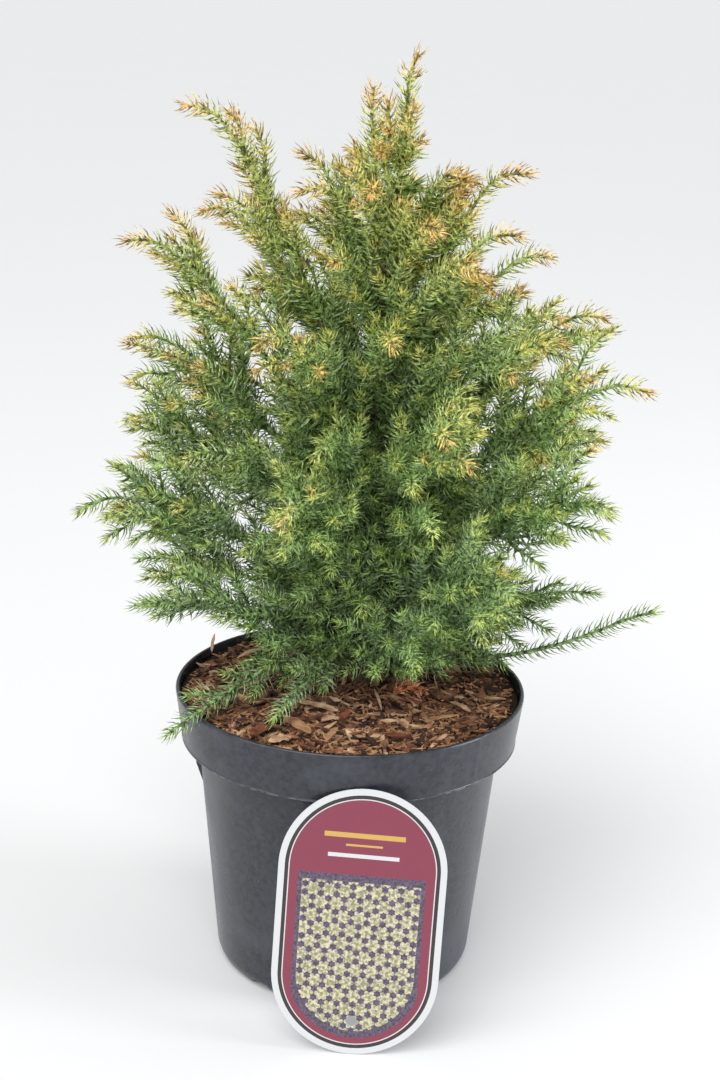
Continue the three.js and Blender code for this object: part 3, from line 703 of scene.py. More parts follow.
def needle_tree():
    """Awl-shaped needles round each line, turned by the golden angle, curved towards its tip."""
    net, wires, leave = geometry_tree(
        "Needles on shoots", Int="Seed",
        Float="Length, Width, Belly, Curl, Wander, Pot radius, Pot height, Mulch radius, Mulch height")
    length, seed = wires["Length"], wires["Seed"]
    lines = net.add("GeometryNodeMeshToCurve", Mesh=wires["Geometry"])
    pitch = net.named("pitch") * MM
    points = net.add("GeometryNodeResampleCurve", Curve=lines, Length=pitch, mode="LENGTH")

    ahead = net.add("GeometryNodeInputTangent")
    jitter = net.random(-NEEDLE["jitter"], NEEDLE["jitter"], seed)
    turn = net.named("run") / net.named("pitch") * GOLDEN_ANGLE + jitter
    normal = net.add("GeometryNodeInputNormal")
    aside = net.add("ShaderNodeVectorRotate", rotation_type="AXIS_ANGLE",
                    Vector=normal, Axis=ahead, Angle=turn)
    lean = net.named("lean") + net.random(-1.0, 1.0, seed + 1) * wires["Wander"]
    along = net.scale(ahead, net.math("COSINE", lean))
    across = net.scale(aside, net.math("SINE", lean))
    way = net.vector("ADD", along, across)
    turned = net.add("FunctionNodeAxesToRotation", primary_axis="Z", secondary_axis="X",
                     Primary_Axis=way, Secondary_Axis=ahead)
    size = net.named("size") * net.random(NEEDLE["least"], NEEDLE["most"], seed + 2)

    # A needle that starts lower than the pot's rim or the mulch, whichever is under its tip, is left out.
    foot = net.add("GeometryNodeInputPosition")
    foot_height = net.split(foot)[2]
    x, y, _ = net.split(net.vector("ADD", foot, net.scale(way, size * length)))
    away = net.distance(x, y)
    over_mulch = away.below(wires["Mulch radius"])
    over_wall = away.below(wires["Pot radius"]) - over_mulch
    floor = over_mulch * wires["Mulch height"] + over_wall * wires["Pot height"]

    awl = net.add("GeometryNodeMeshCone", Vertices=NEEDLE["sides"], Side_Segments=NEEDLE["segments"],
                  Radius_Top=0.0, Radius_Bottom=wires["Width"] * 0.5, Depth=length)
    x, y, z = net.split(net.add("GeometryNodeInputPosition"))
    rise = z / length
    fuller = (rise - rise * rise) * 4.0 * wires["Belly"]
    bend = net.combine(x * fuller + rise * rise * wires["Curl"] * length, y * fuller, 0.0)
    awl = net.add("GeometryNodeSetPosition", Geometry=awl, Offset=bend)
    needles = net.add("GeometryNodeInstanceOnPoints", Points=points, Selection=foot_height.above(floor),
                      Instance=awl, Rotation=turned, Scale=net.combine(size, size, size))
    return close_tree(net, wires, leave, needles)


def tube(net, lines, ring):
    """Closed tubes along lines, as thick as the radius stored on them."""
    return net.add("GeometryNodeCurveToMesh", {"Curve": lines, "Profile Curve": ring,
                                               "Scale": net.named("radius"), "Fill Caps": True})


def twig_tree():
    """Round tapering cores along lines, closed at both ends."""
    net, wires, leave = geometry_tree("Twigs on lines", Int="Sides")
    lines = net.add("GeometryNodeMeshToCurve", Mesh=wires["Geometry"])
    ring = net.add("GeometryNodeCurvePrimitiveCircle", Resolution=wires["Sides"], Radius=MM)
    return close_tree(net, wires, leave, tube(net, lines, ring))


# The bark's relief: the scales of its fibres and flakes, where the flakes' edges lie in their noise, and
# how much of the relief each takes.
BARK = {"fibre_scale": 2.4, "flake_scale": 0.9, "flake_edge": (0.45, 0.6), "fibres": 1.3, "flakes": 0.5}


def bark_tree():
    """Limbs with flaking, fibrous bark: the relief runs along each line."""
    net, wires, leave = geometry_tree("Bark on limbs", Int="Sides", Float="Step, Relief, Fibre, Seed")
    lines = net.add("GeometryNodeMeshToCurve", Mesh=wires["Geometry"])
    lines = net.add("GeometryNodeResampleCurve", Curve=lines, Length=wires["Step"], mode="LENGTH")
    ring = net.add("GeometryNodeCurvePrimitiveCircle", Resolution=wires["Sides"], Radius=MM)
    stored = []
    for curve, name, measure in ((lines, "along", "Length"), (ring, "around", "Factor")):
        value = net.add("GeometryNodeSplineParameter", out=measure)
        stored.append(net.add("GeometryNodeStoreNamedAttribute", domain="POINT",
                              Geometry=curve, Name=name, Value=value))
    limb = tube(net, *stored)

    turn = net.named("around") * (2 * math.pi)
    along = net.named("along") / wires["Fibre"]
    place = net.combine(net.math("COSINE", turn), net.math("SINE", turn), along + wires["Seed"])
    strands = net.noise(place, BARK["fibre_scale"], detail=4.0) - 0.5
    flakes = net.ramp(net.noise(place, BARK["flake_scale"], detail=1.0), *BARK["flake_edge"]) - 0.5
    spurs = net.math("COSINE", turn * float(TRUNK["spurs"])) * net.named("spur") * MM
    height = (strands * BARK["fibres"] + flakes * BARK["flakes"]) * wires["Relief"] + spurs
    offset = net.scale(net.add("GeometryNodeInputNormal"), height)
    limb = net.add("GeometryNodeSetPosition", Geometry=limb, Offset=offset)
    return close_tree(net, wires, leave, limb)


# Bark chips: how many shapes they have, how steep the bed may be under one and how near the edge, the
# least share of the full length, width and thickness, and how thick they are, how tilted and how raised.
CHIP = {"shapes": 6, "least_facing": 0.3, "margin": 2, "least": (0.25, 0.3, 0.4),
        "thickness": 1.1, "tilt": 0.38, "lift": 1.6, "seed": 21}


def chip_shape(net, cuts, variant):
    """One shard of unit size: tapered to its ends, more bluntly from variant to variant, and uneven."""
    shard = net.add("GeometryNodeMeshCube", {"Size": (1, 1, 1), "Vertices X": cuts, "Vertices Y": 3,
                                             "Vertices Z": 2})
    x, y, z = net.split(net.add("GeometryNodeInputPosition"))
    taper = 1.0 - abs(x * 2.0) ** (2.0 + variant) * 0.75
    grain = net.split(net.noise(net.combine(x * 1.4, y, float(variant * 7)), 1.7, out="Color"))
    wide = y * taper + (grain[1] - 0.5) * 0.7
    high = z * (taper * 0.6 + 0.4) + (grain[2] - 0.5) * 1.6
    shard = net.add("GeometryNodeSetPosition", Geometry=shard, Position=net.combine(x, wide, high))
    return net.add("GeometryNodeGeometryToInstance", {0: shard})


def chip_tree():
    """Shards of bark strewn over a bed, shorter near its edge."""
    net, wires, leave = geometry_tree(
        "Strewn chips", Int="Cuts, Seed", Float="Density, Length, Width, Thickness, Tilt, Lift, Edge")
    facing = net.split(net.add("GeometryNodeInputNormal"))[2]
    x, y, _ = net.split(net.add("GeometryNodeInputPosition"))
    room = wires["Edge"] - net.distance(x, y)
    strewn = facing.above(CHIP["least_facing"]) * room.above(CHIP["margin"] * MM)
    seed = wires["Seed"]
    points = net.add("GeometryNodeDistributePointsOnFaces", Mesh=wires["Geometry"], Selection=strewn,
                     Density=wires["Density"], Seed=seed)

    shards = net.add("GeometryNodeJoinGeometry", {0: chip_shape(net, wires["Cuts"], 0)})
    for variant in range(1, CHIP["shapes"]):
        net.feed(shards.socket.node.inputs[0], chip_shape(net, wires["Cuts"], variant))

    near_edge = net.math("MINIMUM", 1.0, room / wires["Length"] * 1.6 + 0.1)
    least = CHIP["least"]
    longer, wider, thicker = (net.random(least[k], 1.0, seed + (1 + k)) for k in range(3))
    length = wires["Length"] * longer ** 1.8 * near_edge
    width = wires["Width"] * wider * net.math("MINIMUM", 1.0, near_edge * 1.5)
    size = net.combine(length, width, wires["Thickness"] * thicker)
    tilt = wires["Tilt"]
    angles = net.combine(net.random(tilt * -1.0, tilt, seed + 4), net.random(tilt * -1.0, tilt, seed + 5),
                         net.random(0.0, 2 * math.pi, seed + 6))
    lift = net.combine(0.0, 0.0, wires["Lift"] * net.random(-0.3, 1.0, seed + 7))
    points = net.add("GeometryNodeSetPosition", Geometry=points, Offset=lift)
    which = net.add("FunctionNodeRandomValue", {4: 0, 5: CHIP["shapes"] - 1}, out=2, data_type="INT",
                    Seed=seed + 8)
    turned = net.add("FunctionNodeEulerToRotation", {0: angles})
    chips = net.add("GeometryNodeInstanceOnPoints", Points=points, Instance=shards, Pick_Instance=True,
                    Instance_Index=which, Rotation=turned, Scale=size)
    return close_tree(net, wires, leave, chips)


# ---- Shader groups -----------------------------------------------------------------------------------


def shader_group(inputs, outputs):
    """Makes a function of a net and its inputs a shader group. Called with a material's net and what
    feeds the group, it places the group there and gives its outputs; the group itself is built once."""

    def decorate(build):
        name = build.__name__.capitalize()

        def use(net, **feeds):
            if name not in bpy.data.node_groups:
                inner, wires, leave = new_tree(name, "ShaderNodeTree", inputs, outputs)
                for socket, value in zip(leave.inputs, build(inner, wires)):
                    inner.feed(socket, value)
            node = net.tree.nodes.new("ShaderNodeGroup")
            node.node_tree = bpy.data.node_groups[name]
            node.location = (-400, -200 * len(net.tree.nodes))
            for key, value in feeds.items():
                net.feed(node.inputs[key], value)
            return [Wire(net, socket) for socket in node.outputs]

        return use

    return decorate


@shader_group({"Vector": "Vector", "Color": "First, Second", "Float": "Scale, Contrast"},
              {"Color": "Color", "Float": "Value"})
def mottle(net, wires):
    """Soft change between two colours, with the value behind it."""
    cloud = net.noise(wires["Vector"], wires["Scale"], detail=3.0)
    share = net.ramp((cloud - 0.5) * wires["Contrast"] + 0.5, 0.0, 1.0)
    return net.mix(share, wires["First"], wires["Second"]), share


@shader_group({"Vector": "Vector", "Float": "Scale"}, {"Float": "Height, Dark"})
def fibres(net, wires):
    """Fibrous grain, drawn out where the vector is: a height and a mask of its dark lines, the lowest lines
    of that height, where the bark paints shade.
    """
    strands = net.noise(wires["Vector"], wires["Scale"], detail=5.0)
    return strands, net.ramp(strands, 0.38, 0.52, 1.0, 0.0)


@shader_group({"Vector": "Vector", "Float": "Scale, Size, Share"}, {"Float": "Mask"})
def specks(net, wires):
    """Small scattered specks: a mask from 0 to 1."""
    cells = net.add("ShaderNodeTexVoronoi", Vector=wires["Vector"], Scale=wires["Scale"])
    distance, colour = net.outputs(cells)[:2]
    chosen = net.split(colour)[0].below(wires["Share"])
    return [net.ramp(distance, wires["Size"], wires["Size"] * 0.6) * chosen]


def new_material(name, **plain):
    """A material with its Principled shader: the net, the shader node and the Object coordinates."""
    material = bpy.data.materials.new(name)
    material.use_nodes = True
    net = Net(material.node_tree)
    shader = material.node_tree.nodes["Principled BSDF"]
    for socket, value in plain.items():
        shader.inputs[socket.replace("_", " ")].default_value = value
    return material, net, shader, net.add("ShaderNodeTexCoord", out="Object")


def plain_mottle(name, colour, dark, scale, contrast=1.0, **plain):
    """A material of one colour, softly mottled with a darker one."""
    material, net, shader, place = new_material(name, **plain)
    tone, _ = mottle(net, Vector=place, First=dark, Second=colour, Scale=scale, Contrast=contrast)
    net.feed(shader.inputs["Base Color"], tone)
    return material


def bump(net, shader, height, strength, distance):
    relief = net.add("ShaderNodeBump", Strength=strength, Distance=distance, Height=height)
    net.feed(shader.inputs["Normal"], relief)


# How much each mark on the plastic shows, and the painted highlight line along the band's lower edge, where
# its bead catches the light: its height above that edge, and half its width.
MARKS = {"scuffs": 0.34, "dust": 0.35, "specks": 0.3, "pits": 0.85, "worn": 0.55}
PAINTED_HIGHLIGHT_LINE = {"height": 0.2, "half_width": 0.45}


def pot_plastic(settings):
    """Satin moulded plastic, streaked, scuffed and dusty, with a pale painted highlight along the band's
    lower edge.
    """
    material, net, shader, place = new_material("pot_plastic")
    plastic, dust_and_highlight_colour = settings.colour, settings.dust
    x, y, z = net.split(place)
    streaked, streaks = mottle(net, Vector=net.combine(x, y, z * 0.1), First=shade(plastic, 0.55),
                               Second=shade(plastic, 0.95), Scale=70.0, Contrast=2.2)
    scuffed, grain = mottle(net, Vector=place, First=shade(plastic, 0.4), Second=shade(dust_and_highlight_colour, 0.55),
                            Scale=330.0, Contrast=2.4)
    dust = net.ramp(net.noise(place, 24.0, detail=6.0), 0.5, 0.72, 0.0, MARKS["dust"])
    pale = specks(net, Vector=place, Scale=260.0, Size=0.2, Share=0.06)[0]
    # Small near-black dots: painted shade for pits in the plastic, which have no depth of their own.
    pits = specks(net, Vector=place, Scale=90.0, Size=0.09, Share=0.2)[0]
    # A thin pale line along the band's lower edge: a painted highlight where the bead catches the light, in
    # the dust colour lightened.
    line = abs(z - (POT["band_foot"] + PAINTED_HIGHLIGHT_LINE["height"]) * MM).below(PAINTED_HIGHLIGHT_LINE["half_width"] * MM)
    worn = line * net.ramp(net.noise(place, 260.0), 0.42, 0.56)
    body = net.mix(MARKS["scuffs"], streaked, scuffed)
    body = net.mix(dust, body, dust_and_highlight_colour)
    body = net.mix(pale * MARKS["specks"], body, dust_and_highlight_colour)
    body = net.mix(pits * MARKS["pits"], body, shade(plastic, 0.12))
    body = net.mix(worn * MARKS["worn"], body, shade(dust_and_highlight_colour, 1.5))
    net.feed(shader.inputs["Base Color"], body)
    net.feed(shader.inputs["Roughness"], net.ramp(streaks, 0.0, 1.0, 0.2, 0.3) + dust * 0.5 + grain * 0.06)
    bump(net, shader, net.noise(place, 700.0, detail=3.0), strength=0.2, distance=0.25 * MM)
    return material


def mulch_material(name, colour, dark):
    """Split wood and bark: fibres over a mottled tone."""
    material, net, shader, place = new_material(name, Roughness=0.85)
    tone, value = mottle(net, Vector=place, First=dark, Second=colour, Scale=180.0, Contrast=2.6)
    net.feed(shader.inputs["Base Color"], tone)
    height, _ = fibres(net, Vector=place, Scale=1500.0)
    bump(net, shader, height + value, strength=0.5, distance=0.4 * MM)
    return material


def bark_material(settings):
    """Reddish brown bark that peels in fibres along the limb, with painted shade in the crevices between the
    fibres.
    """
    material, net, shader, _ = new_material("bark", Roughness=0.8)
    around = net.add("ShaderNodeAttribute", out="Fac", attribute_name="around") * (2 * math.pi)
    along = net.add("ShaderNodeAttribute", out="Fac", attribute_name="along")
    place = net.combine(net.math("COSINE", around), net.math("SINE", around), along * 160.0)
    height, dark = fibres(net, Vector=place, Scale=4.0)
    tone, _ = mottle(net, Vector=place, First=settings.young, Second=settings.colour, Scale=0.6,
                     Contrast=2.2)
    # The low lines of the fibres are darkened towards the crevice colour: painted shade in the crevices.
    net.feed(shader.inputs["Base Color"], net.mix(dark * 0.75, tone, settings.crevice))
    bump(net, shader, height, strength=0.6, distance=0.5 * MM)
    return material


# The two colours of a tint's mottle, a painted shade and a painted highlight: the deep one's share of its
# red, green and blue, and the pale one's share of them and what is added to it.
PAINTED_NEEDLE_LIGHT = {"deep": (0.26, 0.27, 0.06), "pale": (1.45, 1.45, 1.5), "lift": (0.22, 0.22, 0.14)}


def leaf_material(name, colour, roughness=0.36):
    """One plain tint of the foliage, finely mottled at random between a deep painted shade and a pale painted
    highlight that stands for the light side of a needle.
    """
    deep = [c * share for c, share in zip(colour, PAINTED_NEEDLE_LIGHT["deep"])]
    pale = [c * share + lift for c, share, lift in zip(colour, PAINTED_NEEDLE_LIGHT["pale"], PAINTED_NEEDLE_LIGHT["lift"])]
    return plain_mottle(name, pale, deep, scale=420.0, contrast=4.8, Roughness=roughness,
                        Specular_IOR_Level=0.75)


# What is printed on the card, in millimetres: how far in from its edge, and up to what height.
PRINT = {
    "line": (3.0, 4.75),  # the dark border line lies between these
    "field": 5.25,  # the field begins here
    "panel": {"inset": 8.2, "top": 88.0, "half_width": 29.6},
    "rosettes": {"inset": 11.5, "top": 84.5, "wide": 7.4, "high": 6.4, "left_tiles": 20.5},
    "petals": {"half_count": 3.0, "depth": 1.3, "radius": 2.3},
    "heart": 0.75,  # radius of a rosette's middle
    # Each rule's height, thickness, half its length, and its ink.
    "rules": ((107.0, 2.4, 18.7, "gold"), (102.3, 1.0, 8.5, "gold"), (97.2, 1.9, 16.5, "paper")),
}


def label_print(settings):
    """Printed card: a white edge, a dark border line, a field, and a panel of rosettes in rows."""
    material, net, shader, place = new_material("label_print", Coat_Weight=0.3, Coat_Roughness=0.12)
    u, v, _ = net.split(net.add("ShaderNodeUVMap", uv_map="card"))
    width, length = LABEL["width"], LABEL["length"]
    x = (u - 0.5) * length
    y = v * length
    beyond = net.math("MAXIMUM", abs(y - length / 2) - (length / 2 - width / 2), 0.0)
    inset = width / 2 - net.distance(x, beyond)
    field, _ = mottle(net, Vector=place, First=shade(settings.field, 0.94), Second=settings.field,
                      Scale=60.0, Contrast=1.0)
    line, line_end = PRINT["line"]
    card = net.mix(inset.above(line), settings.paper, settings.line)
    card = net.mix(inset.above(line_end), card, settings.paper)
    card = net.mix(inset.above(PRINT["field"]), card, field)

    # The panel follows the card's round foot; staggered rosettes fill it.
    panel, tile, petal = PRINT["panel"], PRINT["rosettes"], PRINT["petals"]
    ground, _ = mottle(net, Vector=place, First=shade(settings.panel, 0.5), Second=shade(settings.panel, 1.7),
                       Scale=900.0, Contrast=3.4)
    bloom, _ = mottle(net, Vector=place, First=settings.motif_shade, Second=settings.motif,
                      Scale=800.0, Contrast=4.0)
    wide, high = tile["wide"], tile["high"]
    shift = net.math("MODULO", net.math("FLOOR", y / high), 2.0) * (wide / 2)
    across = (net.math("FRACT", (x + shift + wide * tile["left_tiles"]) / wide) - 0.5) * wide
    up = (net.math("FRACT", y / high) - 0.5) * high
    away = net.distance(across, up)
    wave = abs(net.math("COSINE", net.math("ARCTAN2", up, across) * petal["half_count"]))
    inside = away.below(wave * petal["depth"] + petal["radius"])
    rosette = inside * inset.above(tile["inset"]) * y.below(tile["top"])
    bloom = net.mix(away.above(PRINT["heart"]), settings.heart, bloom)
    shown = inset.above(panel["inset"]) * y.below(panel["top"]) * abs(x).below(panel["half_width"])
    card = net.mix(shown, card, net.mix(rosette, ground, bloom))

    # Three plain rules stand above the panel.
    for height, thickness, reach, ink in PRINT["rules"]:
        rule = abs(y - height).below(thickness / 2) * abs(x).below(reach)
        card = net.mix(rule, card, getattr(settings, ink))
    net.feed(shader.inputs["Base Color"], card)
    net.feed(shader.inputs["Roughness"], net.ramp(net.noise(place, 50.0), 0.3, 0.7, 0.24, 0.34))
    return material


# ---- Settings ----------------------------------------------------------------------------------------


def colour_property(name, description, default):
    return FloatVectorProperty(name=name, description=description, subtype="COLOR", size=3,
                               min=0, max=1, default=default)


def number_property(name, description, default, **more):
    return FloatProperty(name=name, description=description, default=default, **more)


def length_property(name, description, default):
    return number_property(name, description, default, unit="LENGTH", precision=5)


def angle_property(name, description, degrees):
    return number_property(name, description, math.radians(degrees), subtype="ANGLE")


class CryptomeriaPot(bpy.types.PropertyGroup):
    height: length_property("Height", "Height of the rim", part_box("pot")[1].z)
    rim_radius: length_property("Rim radius", "Outer radius at the rim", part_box("pot")[1].x)
    colour: colour_property("Plastic", "Moulded plastic", srgb(40, 44, 52))
    # The dust colour, lightened, is also the painted highlight along the band's lower edge.
    dust: colour_property("Dust", "Dust and scuffs on the plastic", srgb(102, 108, 118))


class CryptomeriaMulch(bpy.types.PropertyGroup):
    chip_length: length_property("Chip length", "Longest chips", 0.02)
    chip_width: length_property("Chip width", "Widest chips", 0.0042)
    brown: colour_property("Brown", "Most of the bark chips", srgb(146, 100, 70))
    dark: colour_property("Dark", "Dark chips and the bed below", srgb(54, 31, 19))
    tan: colour_property("Tan", "Splintered wood", srgb(226, 192, 156))
    shred: colour_property("Shreds", "Thin shreds of bast", srgb(196, 152, 112))
    rust: colour_property("Rust", "Fresh red-brown bark", srgb(144, 80, 50))


class CryptomeriaLabel(bpy.types.PropertyGroup):
    paper: colour_property("Card", "White card", srgb(212, 214, 216))
    line: colour_property("Line", "Dark border line", srgb(48, 38, 40))
    field: colour_property("Field", "Field behind the panel", srgb(134, 52, 74))
    panel: colour_property("Panel", "Ground of the panel", srgb(82, 70, 90))
    motif: colour_property("Rosettes", "Light part of the rosettes", srgb(216, 210, 178))
    motif_shade: colour_property("Rosette shade", "Darker part of the rosettes", srgb(134, 134, 104))
    heart: colour_property("Rosette heart", "Middle of the rosettes", srgb(150, 138, 92))
    gold: colour_property("Gold", "The upper rules", srgb(206, 166, 84))


class CryptomeriaBark(bpy.types.PropertyGroup):
    relief: length_property("Relief", "Depth of the bark's relief", 0.0009)
    colour: colour_property("Bark", "Weathered bark", srgb(98, 76, 57))
    young: colour_property("Young bark", "Lighter, younger bark", srgb(130, 108, 80))
    # Painted shade for the crevices between the fibres.
    crevice: colour_property("Crevices", "Between the fibres", srgb(48, 36, 28))


class CryptomeriaFoliage(bpy.types.PropertyGroup):
    needle_length: length_property("Needle length", "Length of a full needle", 0.0079)
    needle_width: length_property("Needle width", "Width of a needle at its foot", 0.00084)
    curl: number_property("Curl", "How far a needle's tip bends forward, as a share of it", 0.4,
                          subtype="FACTOR")
    belly: number_property("Belly", "How much fuller than a cone a needle is half way up", 0.6,
                           subtype="FACTOR")
    wander: number_property("Wander", "How far needles stray from their lean", 0.12, subtype="ANGLE")
    seed: IntProperty(name="Seed", description="Start of the needles' random numbers", default=11)
    amber: colour_property("Amber", "Rusty orange tips", srgb(196, 144, 70))
    straw: colour_property("Straw", "Straw-coloured tips", srgb(204, 178, 84))
    gold: colour_property("Gold", "Yellow-green shoots", srgb(186, 182, 78))
    lime: colour_property("Lime", "Fresh green shoots", srgb(160, 176, 74))
    green: colour_property("Green", "Mid-green needles", srgb(128, 162, 70))
    deep: colour_property("Deep green", "Older needles", srgb(106, 148, 70))
    shade: colour_property("Blue green", "Lowest and inner needles", srgb(90, 130, 76))
    fallen: colour_property("Fallen needles", "Dead rust-coloured needles", srgb(186, 96, 44))


class CryptomeriaStage(bpy.types.PropertyGroup):
    floor_colour: colour_property("Floor", "Pale studio floor", srgb(240, 241, 242))
    floor_size: length_property("Floor size", "Side of the floor", 60.0)
    sun: number_property("Overhead light", "Strength of the soft light from above", 1.8)
    left_power: number_property("Left box", "Soft light at the left", 6, unit="POWER")
    right_power: number_property("Right box", "Soft light at the right", 15, unit="POWER")
    sky: number_property("Surroundings", "Strength of the light from all round", 0.56)
    distance: length_property("Camera distance", "Camera in front of the pot's axis", 0.85727)
    height: length_property("Camera height", "Camera above the floor", 0.49896)
    aside: length_property("Camera aside", "Camera to the right of the axis", 0.04167)
    pitch: angle_property("Pitch", "Camera's downward tilt", 18.0)
    roll: angle_property("Roll", "Camera's roll", -1.83)
    yaw: angle_property("Yaw", "Camera's turn to the right", -2.61)
    lens: number_property("Lens", "Focal length in millimetres on a 36 mm frame", 62.01)


# ---- Pot ---------------------------------------------------------------------------------------------


def rounded(corners, steps=4, most=0.45):
    """Outline through (radius, height, rounding) corners, each turned into a short curve of so many steps.

    A rounding takes no more than a share of the sides that meet there."""
    places = [Vector(corner[:2]) for corner in corners]
    outline = []
    for i, (place, corner) in enumerate(zip(places, corners)):
        if corner[2] == 0 or i in (0, len(corners) - 1):
            outline.append(place)
            continue
        before, after = places[i - 1] - place, places[i + 1] - place
        cut = min(corner[2], before.length * most, after.length * most)
        start, end = place + before.normalized() * cut, place + after.normalized() * cut
        for k in range(steps + 1):
            t = k / steps
            outline.append(start.lerp(place, t).lerp(place.lerp(end, t), t))
    return outline


def revolve(outline, sides, shift=None):
    """Closed mesh of an outline turned about Z, from the axis back to the axis."""
    places = [(0, 0, outline[0].y)]
    for radius, height in outline[1:-1]:
        for i in range(sides):
            turn = 2 * math.pi * i / sides
            place = Vector((radius * math.cos(turn), radius * math.sin(turn), height))
            places.append(shift(place, turn) if shift else place)
    places.append((0, 0, outline[-1].y))
    rings = len(outline) - 2
    last = len(places) - 1
    faces = []
    for i in range(sides):
        j = (i + 1) % sides
        faces.append((0, 1 + j, 1 + i))
        for ring in range(rings - 1):
            low, high = 1 + ring * sides, 1 + (ring + 1) * sides
            faces.append((low + i, low + j, high + j, high + i))
        faces.append((last - sides + i, last - sides + j, last))
    mesh = bpy.data.meshes.new("revolved")
    mesh.from_pydata([Vector(p) * MM for p in places], [], faces)
    return mesh


SEAM = {"half_width": 0.6, "height": 0.25}  # the mould seam on the rim band
DRAIN_EDGE = {"side": 0.8, "end": 1}  # half the width over which a notch's side or inner end slopes


def drain_lift(place, turn):
    """Lifts the foot's edge into the drain notches and raises the mould seam on the band."""
    away = math.hypot(place.x, place.y)
    step = 2 * math.pi / POT["drains"]
    off = (turn - math.radians(POT["drain_first"]) + step / 2) % step - step / 2
    across = abs(off) * POT["body_foot_radius"]
    side, end = POT["drain_width"] / 2, POT["body_foot_radius"] - POT["drain_depth"]
    notch = 1 - smoothstep(across, side - DRAIN_EDGE["side"], side + DRAIN_EDGE["side"])
    inward = smoothstep(away, end - DRAIN_EDGE["end"], end + DRAIN_EDGE["end"])
    if place.z < POT["drain_height"]:
        place.z += (POT["drain_height"] - place.z) * notch * inward
    seam = abs((turn - math.radians(POT["seam"]) + math.pi) % (2 * math.pi) - math.pi) * POT["rim_radius"]
    on_band = place.z > POT["band_foot"] + 1 and away > POT["band_foot_radius"] - 0.5
    if on_band and seam < SEAM["half_width"]:
        place.x *= 1 + SEAM["height"] / away
        place.y *= 1 + SEAM["height"] / away
    return place


def pot_mesh():
    """The pot without its ribs, turned from its section."""
    shelf = POT["band_foot"] + POT["wall"]
    bead = 0.35  # how far the band's lower edge stands out
    corners = [  # radius, height and rounding of each
        (0, 0, 0),
        (POT["stand_radius"] - POT["drain_depth"] - 2, 0, 0),
        (POT["stand_radius"], 0, 0.6),
        (POT["body_foot_radius"] - 1.9, 1.6, 1.4),
        (POT["body_foot_radius"], POT["foot_height"], 3),
        (POT["body_top_radius"], POT["band_foot"], 0.8),
        (POT["band_foot_radius"] + bead, POT["band_foot"], 0.25),
        (POT["band_foot_radius"] + bead, POT["band_foot"] + 0.8, 0.3),
        (POT["band_foot_radius"] + 0.1, POT["band_foot"] + 1.2, 0.3),
        (POT["rim_radius"], POT["height"] - 0.9, 1.2),
        (POT["rim_radius"] - 0.6, POT["height"], 0.7),
        (POT["rim_radius"] - POT["wall"], POT["height"], 0.6),
        (pot_inside(shelf), shelf, 0.8),
        (POT["body_top_radius"] - POT["wall"], shelf, 0.6),
        (pot_inside(POT["foot_height"]), POT["foot_height"], 2),
        (POT["stand_radius"], POT["floor"], 1),
        (0, POT["floor"], 0),
    ]
    return revolve(rounded(corners), POT["sides"], drain_lift)


RIB_EDGE = {"shortest": 3, "bevel": 0.35}  # edges of a rib that are longer than this are bevelled


def rib_mesh():
    """The stacking ribs under the band, each a thin fin that runs out into the body."""
    top = POT["band_foot"] + POT["wall"] / 2
    foot = POT["band_foot"] - POT["rib_height"]
    body = POT["body_top_radius"] - POT["wall"] / 2
    outline = [(body, top), (body + POT["rib_depth"], top),
               (body + POT["rib_depth"] * POT["rib_bend_depth"], foot + POT["rib_height"] * POT["rib_bend"]),
               (pot_inside(foot) + POT["wall"] / 2, foot)]
    shape = bmesh.new()
    for i in range(POT["ribs"]):
        turn = Matrix.Rotation(math.radians(POT["rib_first"] + 360 * i / POT["ribs"]), 4, "Z")
        sides = []
        for y in (-POT["rib_width"] / 2, POT["rib_width"] / 2):
            sides.append([shape.verts.new(turn @ Vector((r * MM, y * MM, z * MM))) for r, z in outline])
        near, far = sides
        shape.faces.new(near)
        shape.faces.new(far[::-1])
        for k in range(4):
            shape.faces.new((near[(k + 1) % 4], near[k], far[k], far[(k + 1) % 4]))
    bmesh.ops.recalc_face_normals(shape, faces=shape.faces)
    long_edges = [edge for edge in shape.edges if edge.calc_length() > RIB_EDGE["shortest"] * MM]
    bmesh.ops.bevel(shape, geom=long_edges, offset=RIB_EDGE["bevel"] * MM, segments=2, affect="EDGES")
    mesh = bpy.data.meshes.new("ribs")
    shape.to_mesh(mesh)
    shape.free()
    return mesh


class CRYPTOMERIA_OT_pot(bpy.types.Operator):
    """Makes the moulded nursery pot"""

    bl_idname = "cryptomeria.pot"
    bl_label = "Pot"

    def execute(self, context):
        settings = context.scene.cryptomeria_pot
        blank = new_piece("pot_blank", pot_mesh())
        ribs = new_piece("pot_ribs", rib_mesh())
        union = blank.modifiers.new("ribs", "BOOLEAN")
        union.operation = "UNION"
        union.solver = "EXACT"
        union.object = ribs
        mesh = finished_mesh(blank)
        for spare in (blank, ribs):
            bpy.data.objects.remove(spare)
        wider = settings.rim_radius / max(v.co.x for v in mesh.vertices)
        higher = settings.height / max(v.co.z for v in mesh.vertices)
        mesh.transform(Matrix.Diagonal((wider, wider, higher, 1)))
        pot = new_piece("pot_shell", mesh)
        mesh.materials.clear()
        mesh.materials.append(pot_plastic(settings))
        mesh.shade_smooth()
        mesh.set_sharp_from_angle(angle=math.radians(POT["sharp"]))
        keep(pot, "pot_plastic", "pot")
        return {"FINISHED"}


# ---- Mulch -------------------------------------------------------------------------------------------


# The bed below the chips: its rings and sides, how far it lies lower than the mulch, the scale and height
# of its coarse and its fine crumbs, and how far from the trunk they set in.
BED = {"rings": 44, "sides": 150, "lower": 0.5, "crumbs": ((0.22, 1.1), (0.6, 0.8)), "level": (6, 14)}


